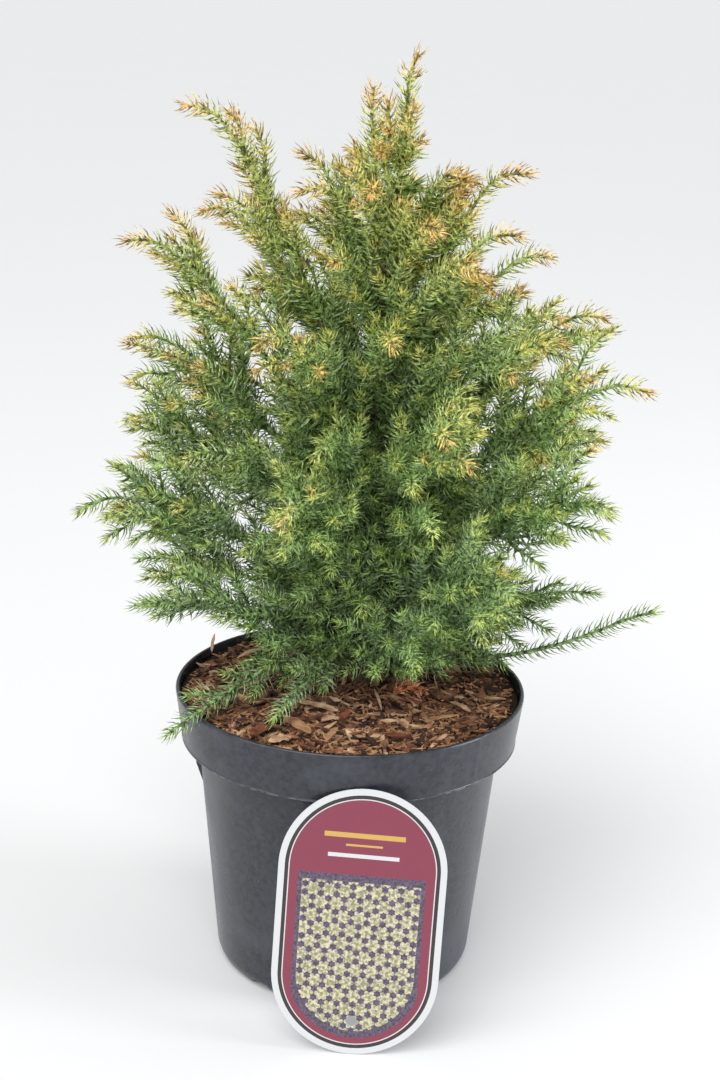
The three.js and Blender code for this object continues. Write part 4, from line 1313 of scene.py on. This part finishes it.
def mulch_bed_mesh():
    """Closed bed of mulch: it fills the band and the body below, with a lumpy top."""
    shelf = POT["band_foot"] + POT["wall"] + GAP
    edge = pot_inside(MIX["top"]) - 2 * GAP
    outline = [
        (0, POT["floor"] + GAP),
        (POT["stand_radius"] - GAP, POT["floor"] + GAP),
        (pot_inside(POT["foot_height"]) - 2 * GAP, POT["foot_height"] + GAP),
        (POT["body_top_radius"] - POT["wall"] - 2 * GAP, shelf),
        (pot_inside(shelf) - 2 * GAP, shelf),
    ]
    rings = BED["rings"]
    outline += [(edge * ring / rings, MIX["top"]) for ring in range(rings, -1, -1)]

    def relief(place, _turn):
        if place.z < MIX["top"] - 1:
            return place
        (coarse, high), (fine, low) = BED["crumbs"]
        crumbs = noise.noise(place * coarse) * high + noise.noise(place * fine) * low
        near_trunk = smoothstep(from_trunk(place.x, place.y), *BED["level"])
        place.z = mulch_height(place.x, place.y) - BED["lower"] + crumbs * near_trunk
        return place

    return revolve([Vector(p) for p in outline], BED["sides"], relief)


# Large loose pieces that lie on top of the others: from one end to the other, each with its height above
# the mulch, and the width.
SPLINTERS = {
    "rust": (
        ((-42, -67, 3), (-34, -55, 4), 5.5),
        ((20, -58, 3), (33, -62, 3.5), 4),
    ),
    "shreds": (
        ((-29, -42, 3), (-15, -61, 3.4), 6),
        ((-7, -71, 3), (-3, -53, 4), 3.2),
        ((-38, 6, 3), (-55, -12, 4), 2.4),
        ((38, -40, 3), (54, -33, 3.6), 2.6),
    ),
    "tan": (
        ((-26, -26, 3), (-4, -33, 3.5), 4.2),
        ((-11, -45, 3), (-3, -41, 3.2), 4.6),
        ((-33, -72, 3), (-24, -65, 3.6), 7),
        ((12, -2, 3), (17, -31, 4.5), 1.3),
        ((-74, 36, 2.5), (-73, 39, 11), 1.6),
        ((-60, 30, 2.5), (-46, 44, 4), 3),
        ((50, -14, 3), (60, -26, 3.4), 3),
    ),
}
# How a loose piece is cut up and arched, its thickness without and with its width, how blunt its ends
# are, and the least and the range of its raggedness.
SHARD = {"cuts": 7, "arch": 0.8, "thickness": (0.2, 0.12), "ends": (0.25, 3), "ragged": (0.75, 0.5)}


def splinter_mesh(kind):
    """The loose pieces of one kind: flat shards, ragged along their sides and at their ends."""
    points, faces = [], []
    cuts, (blunt, widening), (ragged, more) = SHARD["cuts"], SHARD["ends"], SHARD["ragged"]
    draw = seeded(len(kind))
    for *ends, width in SPLINTERS[kind]:
        ends = [Vector((x, y, mulch_height(x, y) + up)) for x, y, up in ends]
        ahead = (ends[1] - ends[0]).normalized()
        aside = ahead.cross(UP).normalized()
        above = aside.cross(ahead)
        first = len(points)
        for i in range(cuts + 1):
            share = i / cuts
            centre = ends[0].lerp(ends[1], share) + above * SHARD["arch"] * math.sin(math.pi * share)
            wide = width / 2 * min(1, blunt + widening * share, blunt + widening * (1 - share))
            thick = SHARD["thickness"][0] + SHARD["thickness"][1] * width * draw()
            for side, up in ((-1, -1), (1, -1), (1, 1), (-1, 1)):
                out = wide * (ragged + more * draw())
                points.append((centre + aside * side * out + above * up * thick * draw()) * MM)
        faces.append([first + 3, first + 2, first + 1, first])
        faces.append([first + 4 * cuts + k for k in range(4)])
        for i in range(cuts):
            low, high = first + 4 * i, first + 4 * (i + 1)
            faces.extend([low + k, low + (k + 1) % 4, high + (k + 1) % 4, high + k] for k in range(4))
    mesh = bpy.data.meshes.new(f"splinters_{kind}")
    mesh.from_pydata(points, [], faces)
    return mesh


class CRYPTOMERIA_OT_mulch(bpy.types.Operator):
    """Makes the bed of bark mulch and strews its chips"""

    bl_idname = "cryptomeria.mulch"
    bl_label = "Mulch"

    def execute(self, context):
        settings = context.scene.cryptomeria_mulch
        bed = new_piece("mulch_bed", mulch_bed_mesh())
        black = shade(settings.dark, 0.45)
        bed.data.materials.append(mulch_material("mulch_crumbs", settings.dark, black))
        bed.data.shade_smooth()
        keep(bed, "bark_mulch", "potting_mix")
        tree = chip_tree()
        length, width = settings.chip_length, settings.chip_width
        # Kind, colours, chips on a square metre, the longest and the widest, and cuts along a chip.
        kinds = [
            ("brown", settings.brown, settings.dark, 65000.0, length, width, 5),
            ("dark", shade(settings.dark, 1.3), black, 60000.0, length * 0.75, width * 0.8, 5),
            ("tan", settings.tan, settings.brown, 15000.0, length * 1.1, width, 5),
            ("rust", settings.rust, settings.dark, 8000.0, length, width, 5),
            ("shreds", settings.shred, settings.brown, 190000.0, length * 0.6, width * 0.36, 3),
        ]
        looks = {}
        for i, (kind, colour, dark, density, longest, widest, cuts) in enumerate(kinds):
            looks[kind] = mulch_material(f"mulch_{kind}", colour, dark)
            chips = grow(f"mulch_chips_{kind}", bed.data.copy(), tree, {
                "Density": density, "Length": longest, "Width": widest, "Thickness": CHIP["thickness"] * MM,
                "Tilt": CHIP["tilt"], "Lift": CHIP["lift"] * MM, "Edge": (pot_inside(MIX["top"]) - 1) * MM,
                "Cuts": cuts, "Seed": CHIP["seed"] + i, "Material": looks[kind],
            })
            keep(chips, "bark_mulch")
        for kind in SPLINTERS:
            loose = new_piece(f"mulch_splinters_{kind}", splinter_mesh(kind))
            loose.data.materials.append(looks[kind])
            keep(loose, "bark_mulch")
        return {"FINISHED"}


# ---- Label -------------------------------------------------------------------------------------------


def label_place():
    """Where the label stands and leans: its foot on the floor, its back on the pot's band.

    The band's radius depends on where the card's top meets it, so the lean settles in a few rounds."""
    lean = 0.0
    for _ in range(8):
        band = pot_inside(LABEL["length"] * math.cos(lean)) + POT["wall"]
        rest = math.sqrt(band**2 - LABEL["centre"] ** 2) + GAP
        lean = math.asin((LABEL["foot_front"] - rest - LABEL["thickness"]) / LABEL["length"])
    foot = Vector((LABEL["centre"], -LABEL["foot_front"], LABEL["thickness"] * math.sin(lean)))
    return Matrix.Translation(foot * MM) @ Matrix.Rotation(math.pi / 2 - lean, 4, "X")


def arc(radius, height, start, turn, steps):
    """Points of an arc about a place on the card's middle line."""
    angles = [start + turn * i / steps for i in range(steps + 1)]
    return [(radius * math.cos(a), height + radius * math.sin(a)) for a in angles]


def label_mesh():
    """Card with round ends and a punched hole, its edges barely rounded."""
    radius, length = LABEL["width"] / 2, LABEL["length"]
    edge = 0.12  # rounding of the card's edges
    curve = bpy.data.curves.new("label_outline", "CURVE")
    curve.dimensions = "2D"
    curve.fill_mode = "BOTH"
    curve.extrude = (LABEL["thickness"] / 2 - edge) * MM
    curve.bevel_depth = edge * MM
    curve.bevel_resolution = 1
    curve.offset = -edge * MM
    rim = arc(radius, radius, math.pi, math.pi, 40) + arc(radius, length - radius, 0, math.pi, 40)
    hole = arc(LABEL["hole_radius"], LABEL["hole_height"], 0, -2 * math.pi, 32)[:-1]
    for points in (rim, hole):
        spline = curve.splines.new("POLY")
        spline.points.add(len(points) - 1)
        for point, (x, y) in zip(spline.points, points):
            point.co = (x * MM, y * MM, 0, 1)
        spline.use_cyclic_u = True
    holder = new_object("label_outline", curve)
    mesh = finished_mesh(holder)
    bpy.data.objects.remove(holder)
    bpy.data.curves.remove(curve)
    for layer in list(mesh.uv_layers):
        mesh.uv_layers.remove(layer)
    card = mesh.uv_layers.new(name="card")
    for loop in mesh.loops:
        place = mesh.vertices[loop.vertex_index].co / MM
        card.data[loop.index].uv = (place.x / length + 0.5, place.y / length)
    turn = Matrix.Rotation(-math.radians(LABEL["turn"]), 4, "Z")
    mesh.transform(Matrix.Translation((0, -radius * MM, LABEL["thickness"] / 2 * MM)))
    mesh.transform(Matrix.Translation((0, radius * MM, 0)) @ turn)
    return mesh


class CRYPTOMERIA_OT_label(bpy.types.Operator):
    """Makes the printed card that leans on the pot"""

    bl_idname = "cryptomeria.label"
    bl_label = "Label"

    def execute(self, context):
        settings = context.scene.cryptomeria_label
        mesh = label_mesh()
        mesh.materials.clear()
        mesh.materials.append(label_print(settings))
        mesh.materials.append(plain_mottle("label_card", settings.paper, shade(settings.paper, 0.93),
                                           scale=40.0, Roughness=0.4))
        most = 0.9  # of the card's thickness, and of facing straight out
        for face in mesh.polygons:
            printed = face.center.z > LABEL["thickness"] * most * MM and face.normal.z > most
            face.material_index = 0 if printed else 1
            face.use_smooth = False
        mesh.transform(label_place())
        keep(new_piece("label_card_front", mesh), "label_card", "plant_label")
        return {"FINISHED"}


# ---- Limbs -------------------------------------------------------------------------------------------


ROOTED = 7.0  # how far a limb or stem goes on into what carries it
LIMB = {
    "step": 2,  # between the points of its line
    "fewest": 8,  # steps in a line
    "swell": 0.2,  # how much thicker a bough is at its root, as a share of ROOTED
    "swell_length": 4,  # fades along it
}


def limb_line(path, radius_at, spur_at=lambda share: 0.0, rooted=0.0):
    """Line of a limb with its radius and the depth of its spurs; a bough swells where it is rooted."""
    count = max(LIMB["fewest"], round(path.length / LIMB["step"]))
    shares = [i / count for i in range(count + 1)]
    points = [path.at(s) for s in shares]
    swell = [rooted * LIMB["swell"] * math.exp(-s * path.length / LIMB["swell_length"]) for s in shares]
    radii = [radius_at(s) + more for s, more in zip(shares, swell)]
    spurs = [spur_at(s) for s in shares]
    if rooted:
        points.insert(0, path.at(0) - path.ahead(0) * rooted)
        radii.insert(0, radii[0])
        spurs.insert(0, 0.0)
    return points, {"radius": radii, "spur": spurs}


class CRYPTOMERIA_OT_limbs(bpy.types.Operator):
    """Makes the bark of the trunk and the bare boughs"""

    bl_idname = "cryptomeria.limbs"
    bl_label = "Trunk and boughs"

    def execute(self, context):
        settings = context.scene.cryptomeria_bark
        bark = bark_material(settings)
        tree = bark_tree()

        def spur(share):
            rise = share * TRUNK_PATH.length
            return TRUNK["spur_depth"] * TRUNK["flare"] * math.exp(-rise / TRUNK["flare_height"])

        shared = {"Relief": settings.relief, "Fibre": 7 * MM, "Material": bark}
        lines = line_mesh("trunk_line", [limb_line(TRUNK_PATH, trunk_radius, spur)])
        values = {"Sides": 40, "Step": 0.8 * MM, "Seed": 3.0, **shared}
        trunk = grow("trunk_bark", lines, tree, values)
        trunk.data.shade_smooth()
        keep(trunk, "bark", "trunk")

        boughs, names = [], []
        for branch, line in bough_lines():
            root = root_radius(branch)

            def taper(share, root=root):
                return root + (BOUGH["tip_radius"] - root) * share

            boughs.append(limb_line(line, taper, rooted=ROOTED))
            names.append(f"{branch.name}_bough")
        values = {"Sides": 24, "Step": 0.9 * MM, "Seed": 9.0, **shared}
        limbs = grow("bough_bark", line_mesh("bough_lines", boughs), tree, values)
        limbs.data.shade_smooth()
        keep(limbs, "bark", *names)
        return {"FINISHED"}


# ---- Twigs and needles -------------------------------------------------------------------------------

TINTS = ("shade", "deep", "green", "lime", "gold", "straw", "amber")
TINT_SLOTS = ("foliage_deep", "foliage_deep", "foliage_green", "foliage_lime", "foliage_gold",
              "foliage_gold", "foliage_gold")
TIP = 5.0  # length of a shoot's very tip, whose needles crowd forwards
COLLAR = 8.0  # length of the young stretch below it
SHORT = 0.25  # the most of a shoot that either of them takes
ZONE = 11.0  # length of the other stretches that take one tint each

# The scale of tints runs from 0, the first of TINTS, to 6, the last. By height in the crown: the place of
# a green shoot's stretch on it, how much cooler the crown's inside is, and the share of warm-tipped shoots.
BASE_TINT = ((0, 0.0), (0.15, 0.25), (0.35, 0.95), (0.55, 2.0), (0.75, 3.2), (1, 3.6))
INSIDE = ((0, 1.2), (0.5, 1.4), (1, 0.5))
WARM_SHARE = ((0, 0), (0.2, 0.02), (0.45, 0.26), (0.7, 0.55), (1, 0.85))
YOUNG = (0, 0.7, 1.5)  # how much warmer a shoot's collar and tip are
WARM = (0, 1.6, 3.1)  # the same on a shoot with a warm tip
WARMEST = 5.6
TINT = {
    "outside": 0.8,  # outerness that takes the base tint
    "furthest": 1.05,  # outerness from which it warms no further
    "along": 0.7,  # how much warmer a shoot's end is than its root
    "mood": 0.9,  # how much shoots differ among themselves
    "mood_turns": 7.3,  # deals warm tips out by mood, apart from the tints
    "warm_from": (0.5, 0.8),  # outerness over which warm tips set in
    "warm_stems": (0.35, 0.65),  # height over which every stem comes to have one
}


LEAST_PROFILE = 20.0


def outerness(point):
    """Distance from the plant's axis as a share of the crown's profile at that height."""
    return from_trunk(point.x, point.y) / max(LEAST_PROFILE, read_table(CROWN["profile"], point.z))


def tint_of(point, share, youth, shoot):
    """Place of a stretch of a shoot on the scale of tints: cooler low down and inside, warmer at the tips.

    Youth is 0 on the shoot's length, 1 on its collar and 2 at its tip."""
    height = crown_height(point.z)
    value = read_table(BASE_TINT, height)
    value += (min(TINT["furthest"], outerness(point)) - TINT["outside"]) * read_table(INSIDE, height)
    value += (share - 0.5) * TINT["along"] + (shoot.mood - 0.5) * TINT["mood"]
    warmth = read_table(WARM_SHARE, height) * smoothstep(outerness(point), *TINT["warm_from"])
    if shoot.rank == 0:
        warmth = max(warmth, smoothstep(height, *TINT["warm_stems"]))
    value += (WARM if (shoot.mood * TINT["mood_turns"]) % 1 < warmth else YOUNG)[youth]
    return min(WARMEST, max(0.0, value))


LEAST_SHARE = 0.2  # a tint that would have less of the needles than this has none


def dealt(value):
    """The tints on either side of a place on the scale, each with its share of the needles."""
    low = int(value)
    share = value - low
    if share < LEAST_SHARE:
        return [(low, 1.0)]
    if share > 1 - LEAST_SHARE:
        return [(low + 1, 1.0)]
    return [(low, 1 - share), (low + 1, share)]


# By rank, as shares of a shoot's length: how far it arches above its line, and how far its tip lifts.
ARCH = (0.05, 0.08, 0.06)
LIFT = (0, 0.2, 0.2)
HIGH_LIFT = 0.11  # added to the lift towards the crown's top
ARCH_PEAK = 27 / 4  # brings the highest place of the arch's curve to 1
STIFF = (0.05, 0.3)  # heights in the crown over which arch, lift and nod set in
# The last stretch of a shoot bends down, outwards and a little to a side of its own; that of a high stem
# bends further out.
NOD = {"length": 19, "most": 0.5, "depth": 4.4, "aside": 0.5, "out": 0.7, "high_out": 0.9}


def nod(shoot, share):
    """Place on a shoot: it arches above its line and lifts, and its tip nods."""
    path = shoot.path
    point = path.at(share)
    height = crown_height(point.z)
    bend = share * share * (1 - share) * ARCH_PEAK
    rise = smoothstep(height, *STIFF)
    point += UP * bend * ARCH[shoot.rank] * path.length * rise
    if shoot.rank > 0:
        point += UP * share * share * (LIFT[shoot.rank] + HIGH_LIFT * height) * path.length * rise
    stretch = min(NOD["length"], path.length * NOD["most"])
    late = 1 - (1 - share) * path.length / stretch
    if late > 0:
        way = heading(360 * shoot.mood) * NOD["aside"] - UP
        out = NOD["out"] + (NOD["high_out"] * height if shoot.rank == 0 else 0)
        way += Vector((point.x, point.y, 0)).normalized() * out
        ahead = path.ahead(share)
        way -= ahead * way.dot(ahead)
        point += way * NOD["depth"] * late * late * rise * stretch / NOD["length"]
    return point


def zones_of(length):
    """Stretches of a shoot as (start, end, youth) in millimetres from its root."""
    tip = min(TIP, length * SHORT)
    collar = min(COLLAR, length * SHORT)
    body = length - tip - collar
    count = max(1, round(body / ZONE))
    cuts = [body * i / count for i in range(count + 1)]
    zones = [(a, b, 0) for a, b in zip(cuts, cuts[1:])]
    return zones + [(body, body + collar, 1), (body + collar, length, 2)]


PITCHES = (0.52, 0.45, 0.36)  # between needles along a shoot, by youth
MOST_NEEDLES = 18000  # in one piece
# Needles shorten and fold forwards towards a shoot's tip. Each pair is what they have at the very tip and
# what is added away from it, and the next pair is where that sets in, from the tip, as a share of TIP and
# COLLAR together.
CLAD = {
    "size": (0.74, 0.26),
    "full_size": (-0.1, 0.8),
    "lean": (36, 36),
    "full_lean": (-0.15, 0.6),
    "high_size": 0.18,  # how much longer they are at the crown's top
    "step": 2.5,  # between the points of a line that carries needles
}
# Older needles on the limbs: where they stand, their tint, how close they are and how large.
OLD_BOUGH = {"from": 0.3, "tint": "shade", "pitch": PITCHES[0], "size": 1.2}
OLD_TRUNK = {"tints": ((0.3, 0.55, "shade"), (0.55, 0.8, "deep"), (0.8, 1, "green")),
             "pitch": PITCHES[0] * 0.5, "size": 1.25}


def needle_lines(shoots):
    """Lines that carry needles, sorted by tint."""
    lines = [[] for _ in TINTS]

    def add(shoot, start, end, tint, pitch, scale=1.0):
        path = shoot.path
        first, last = start + pitch / 2, end - pitch / 2
        count = max(2, round((last - first) / CLAD["step"]))
        runs = [first + (last - first) * i / count for i in range(count + 1)]
        size = scale * (1 + CLAD["high_size"] * crown_height(path.at(0.5).z))
        (short, longer), (folded, open_by) = CLAD["size"], CLAD["lean"]
        sizes, leans = [], []
        for run in runs:
            left = (path.length - run) / (TIP + COLLAR)
            sizes.append(size * (short + longer * smoothstep(left, *CLAD["full_size"])))
            leans.append(math.radians(folded + open_by * smoothstep(left, *CLAD["full_lean"])))
        numbers = {"run": runs, "pitch": [pitch] * len(runs), "size": sizes, "lean": leans}
        lines[tint].append(([nod(shoot, run / path.length) for run in runs], numbers))

    for shoot in shoots:
        for start, end, youth in zones_of(shoot.path.length):
            middle = (start + end) / 2 / shoot.path.length
            for tint, part in dealt(tint_of(shoot.path.at(middle), middle, youth, shoot)):
                add(shoot, start, end, tint, PITCHES[youth] / part)
    tint = TINTS.index(OLD_BOUGH["tint"])
    for _, bough in bough_lines():
        start = bough.length * OLD_BOUGH["from"]
        add(Shoot(bough, 0, 0), start, bough.length, tint, OLD_BOUGH["pitch"], OLD_BOUGH["size"])
    for start, end, tint in OLD_TRUNK["tints"]:
        ends = [TRUNK_PATH.length * share for share in (start, end)]
        add(Shoot(TRUNK_PATH, 0, 0), *ends, TINTS.index(tint), OLD_TRUNK["pitch"], OLD_TRUNK["size"])
    return lines


# A dead sprig that lies on the mulch: its two twigs, and its needles.
FALLEN = (
    Path((22, -14, 147), (28, -10, 152), (35, -9, 147)),
    Path((28, -11, 150), (29, -5, 151), (27, 0, 146)),
)
FALLEN_NEEDLES = {"pitch": 0.26, "size": 0.85, "lean": math.radians(62)}


def fallen_lines():
    """Lines of the dead sprig's twigs."""
    steps = 6
    for path in FALLEN:
        runs = [path.length * i / steps for i in range(steps + 1)]
        numbers = {key: [value] * len(runs) for key, value in FALLEN_NEEDLES.items()}
        yield [path.at(run / path.length) for run in runs], {"run": runs, **numbers}


def count_needles(line):
    """About how many needles a line will carry."""
    runs, pitches = line[1]["run"], line[1]["pitch"]
    return (runs[-1] - runs[0]) / pitches[0] + 1


RADII = ((1.4, 0.6), (0.9, 0.5), (0.7, 0.45))  # of a shoot's core at its root and tip, by rank
# Its line has a point every so often, a stem is woody for one part in so many of it, and its core is
# deep or green in tint below these places on the scale of tints.
CORE = {"step": 4, "fewest": 3, "woody": 6, "deep": 1, "green": 2.4}


def twig_lines(shoots):
    """Lines of the twigs' cores, sorted into woody ones and those of three tints."""
    lines = {"woody": [], "deep": [], "green": [], "gold": []}
    for shoot in shoots:
        path = shoot.path
        root, tip = RADII[shoot.rank]
        count = max(CORE["fewest"], round(path.length / CORE["step"]))
        shares = [i / count for i in range(count + 1)]
        points = [nod(shoot, s) for s in shares]
        radii = [root + (tip - root) * s for s in shares]
        tint = tint_of(path.at(0.5), 0.5, 0, shoot)
        kind = "deep" if tint < CORE["deep"] else "green" if tint < CORE["green"] else "gold"
        if shoot.rank == 0:
            points.insert(0, path.at(0) - path.ahead(0) * ROOTED)
            radii.insert(0, root)
            cut = max(2, count // CORE["woody"])
            lines["woody"].append((points[:cut + 1], {"radius": radii[:cut + 1]}))
            points, radii = points[cut:], radii[cut:]
        lines[kind].append((points, {"radius": radii}))
    return lines


class CRYPTOMERIA_OT_foliage(bpy.types.Operator):
    """Grows the twigs and the needles from the limbs"""

    bl_idname = "cryptomeria.foliage"
    bl_label = "Twigs and needles"

    def execute(self, context):
        settings = context.scene.cryptomeria_foliage
        bark = context.scene.cryptomeria_bark
        shoots = crown_shoots()
        masses = sorted(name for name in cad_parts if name.endswith("_foliage"))
        twigs = twig_tree()
        looks = {
            "woody": (bark.colour, "bark"),
            "deep": (shade(settings.deep, 0.7), "foliage_deep"),
            "green": (shade(settings.green, 0.65), "foliage_green"),
            "gold": (shade(settings.lime, 0.7), "foliage_lime"),
        }
        for kind, lines in twig_lines(shoots).items():
            colour, slot = looks[kind]
            # Twig cores take the same mottle of painted shade and painted highlight as the needles.
            values = {"Sides": 6, "Material": leaf_material(f"twig_{kind}", colour, 0.65)}
            piece = grow(f"twigs_{kind}", line_mesh(kind, lines), twigs, values)
            piece.data.shade_smooth()
            keep(piece, slot, *masses)
        tree = needle_tree()
        values = {
            "Length": settings.needle_length, "Width": settings.needle_width, "Curl": settings.curl,
            "Belly": settings.belly, "Wander": settings.wander, "Pot radius": (POT["rim_radius"] + 0.5) * MM,
            "Pot height": POT["height"] * MM, "Mulch radius": (pot_inside(POT["height"]) - 0.5) * MM,
            "Mulch height": MIX["top"] * MM,
        }
        for i, lines in enumerate(needle_lines(shoots)):
            tint = TINTS[i]
            values["Material"] = leaf_material(f"needles_{tint}", getattr(settings, tint))
            lots = math.ceil(sum(count_needles(line) for line in lines) / MOST_NEEDLES)
            for lot in range(lots):
                values["Seed"] = settings.seed + SEED["tints"] * i + SEED["lots"] * lot
                name = f"needles_{tint}_{lot + 1}"
                piece = grow(name, line_mesh(name, lines[lot::lots]), tree, values)
                keep(piece, TINT_SLOTS[i], *masses)
        values.update(Material=leaf_material("needles_fallen", settings.fallen), Seed=settings.seed)
        keep(grow("needles_fallen", line_mesh("fallen", fallen_lines()), tree, values), "foliage_gold")
        return {"FINISHED"}


# ---- Stage -------------------------------------------------------------------------------------------


PLANT_MIDDLE = Vector((0, 0, 0.2))
SUN = {"softness": 50, "from": (-0.3, -0.75, 1)}  # the angle it spreads over, degrees, and where it stands


def area_light(name, place, size, power, colour):
    """A soft round light that faces the plant."""
    data = bpy.data.lights.new(name, "AREA")
    data.shape = "DISK"
    data.size = size
    data.energy = power
    data.color = colour
    light = new_object(name, data)
    light.location = place
    light.rotation_euler = (PLANT_MIDDLE - Vector(place)).to_track_quat("-Z", "Y").to_euler()


class CRYPTOMERIA_OT_stage(bpy.types.Operator):
    """Makes the pale floor, the soft lights and the camera"""

    bl_idname = "cryptomeria.stage"
    bl_label = "Stage"

    def execute(self, context):
        scene = context.scene
        settings = scene.cryptomeria_stage
        half = settings.floor_size / 2
        mesh = bpy.data.meshes.new("studio_floor")
        mesh.from_pydata([(-half, -half, 0), (half, -half, 0), (half, half, 0), (-half, half, 0)], [],
                         [(0, 1, 2, 3)])
        pale = settings.floor_colour
        mesh.materials.append(plain_mottle("studio_floor", pale, shade(pale, 0.985), scale=3.0,
                                           Roughness=0.55, Specular_IOR_Level=0.2))
        new_piece("studio_floor", mesh)

        sun = bpy.data.lights.new("overhead_light", "SUN")
        sun.energy = settings.sun
        sun.angle = math.radians(SUN["softness"])
        lamp = new_object("overhead_light", sun)
        lamp.rotation_euler = Vector(SUN["from"]).to_track_quat("Z", "Y").to_euler()
        area_light("left_box", (-1.5, -0.9, 0.9), 0.8, settings.left_power, (1, 0.99, 0.97))
        area_light("right_box", (1.6, -0.2, 0.6), 0.8, settings.right_power, (0.97, 0.98, 1))
        scene.view_settings.view_transform = "Standard"
        world = bpy.data.worlds.new("studio")
        world.use_nodes = True
        background = world.node_tree.nodes["Background"]
        background.inputs["Color"].default_value = (1, 1, 1, 1)
        background.inputs["Strength"].default_value = settings.sky
        scene.world = world

        pitch, roll, yaw = settings.pitch, settings.roll, settings.yaw
        level = math.cos(pitch)
        ahead = Vector((math.sin(yaw) * level, math.cos(yaw) * level, -math.sin(pitch)))
        right = Vector((math.cos(yaw), -math.sin(yaw), 0))
        down = ahead.cross(right)
        across = right * math.cos(roll) + down * math.sin(roll)
        below = down * math.cos(roll) - right * math.sin(roll)
        axes = Matrix((across, -below, -ahead)).transposed().to_4x4()
        data = bpy.data.cameras.new("camera")
        data.sensor_width = 36
        data.lens = settings.lens
        camera = new_object("camera", data)
        camera.matrix_world = Matrix.Translation((settings.aside, -settings.distance, settings.height)) @ axes
        scene.camera = camera
        return {"FINISHED"}


# ---- Panel and registration --------------------------------------------------------------------------

STEPS = (
    (CRYPTOMERIA_OT_stage, "cryptomeria_stage", CryptomeriaStage),
    (CRYPTOMERIA_OT_pot, "cryptomeria_pot", CryptomeriaPot),
    (CRYPTOMERIA_OT_mulch, "cryptomeria_mulch", CryptomeriaMulch),
    (CRYPTOMERIA_OT_label, "cryptomeria_label", CryptomeriaLabel),
    (CRYPTOMERIA_OT_limbs, "cryptomeria_bark", CryptomeriaBark),
    (CRYPTOMERIA_OT_foliage, "cryptomeria_foliage", CryptomeriaFoliage),
)


class CRYPTOMERIA_PT_panel(bpy.types.Panel):
    """Lists every step with its settings"""

    bl_idname = "CRYPTOMERIA_PT_panel"
    bl_label = "Potted Cryptomeria"
    bl_space_type = "VIEW_3D"
    bl_region_type = "UI"
    bl_category = "Cryptomeria"

    def draw(self, context):
        for operator, name, _ in STEPS:
            box = self.layout.box()
            box.operator(operator.bl_idname)
            settings = getattr(context.scene, name)
            for setting in settings.__annotations__:
                box.prop(settings, setting)


def register():
    for operator, name, group in STEPS:
        bpy.utils.register_class(group)
        setattr(bpy.types.Scene, name, PointerProperty(type=group))
        bpy.utils.register_class(operator)
    bpy.utils.register_class(CRYPTOMERIA_PT_panel)


def unregister():
    bpy.utils.unregister_class(CRYPTOMERIA_PT_panel)
    for operator, name, group in reversed(STEPS):
        bpy.utils.unregister_class(operator)
        delattr(bpy.types.Scene, name)
        bpy.utils.unregister_class(group)


def main():
    register()
    bpy.ops.cryptomeria.stage()
    bpy.ops.cryptomeria.pot()
    bpy.ops.cryptomeria.mulch()
    bpy.ops.cryptomeria.label()
    bpy.ops.cryptomeria.limbs()
    bpy.ops.cryptomeria.foliage()


if __name__ == "__main__":
    main()
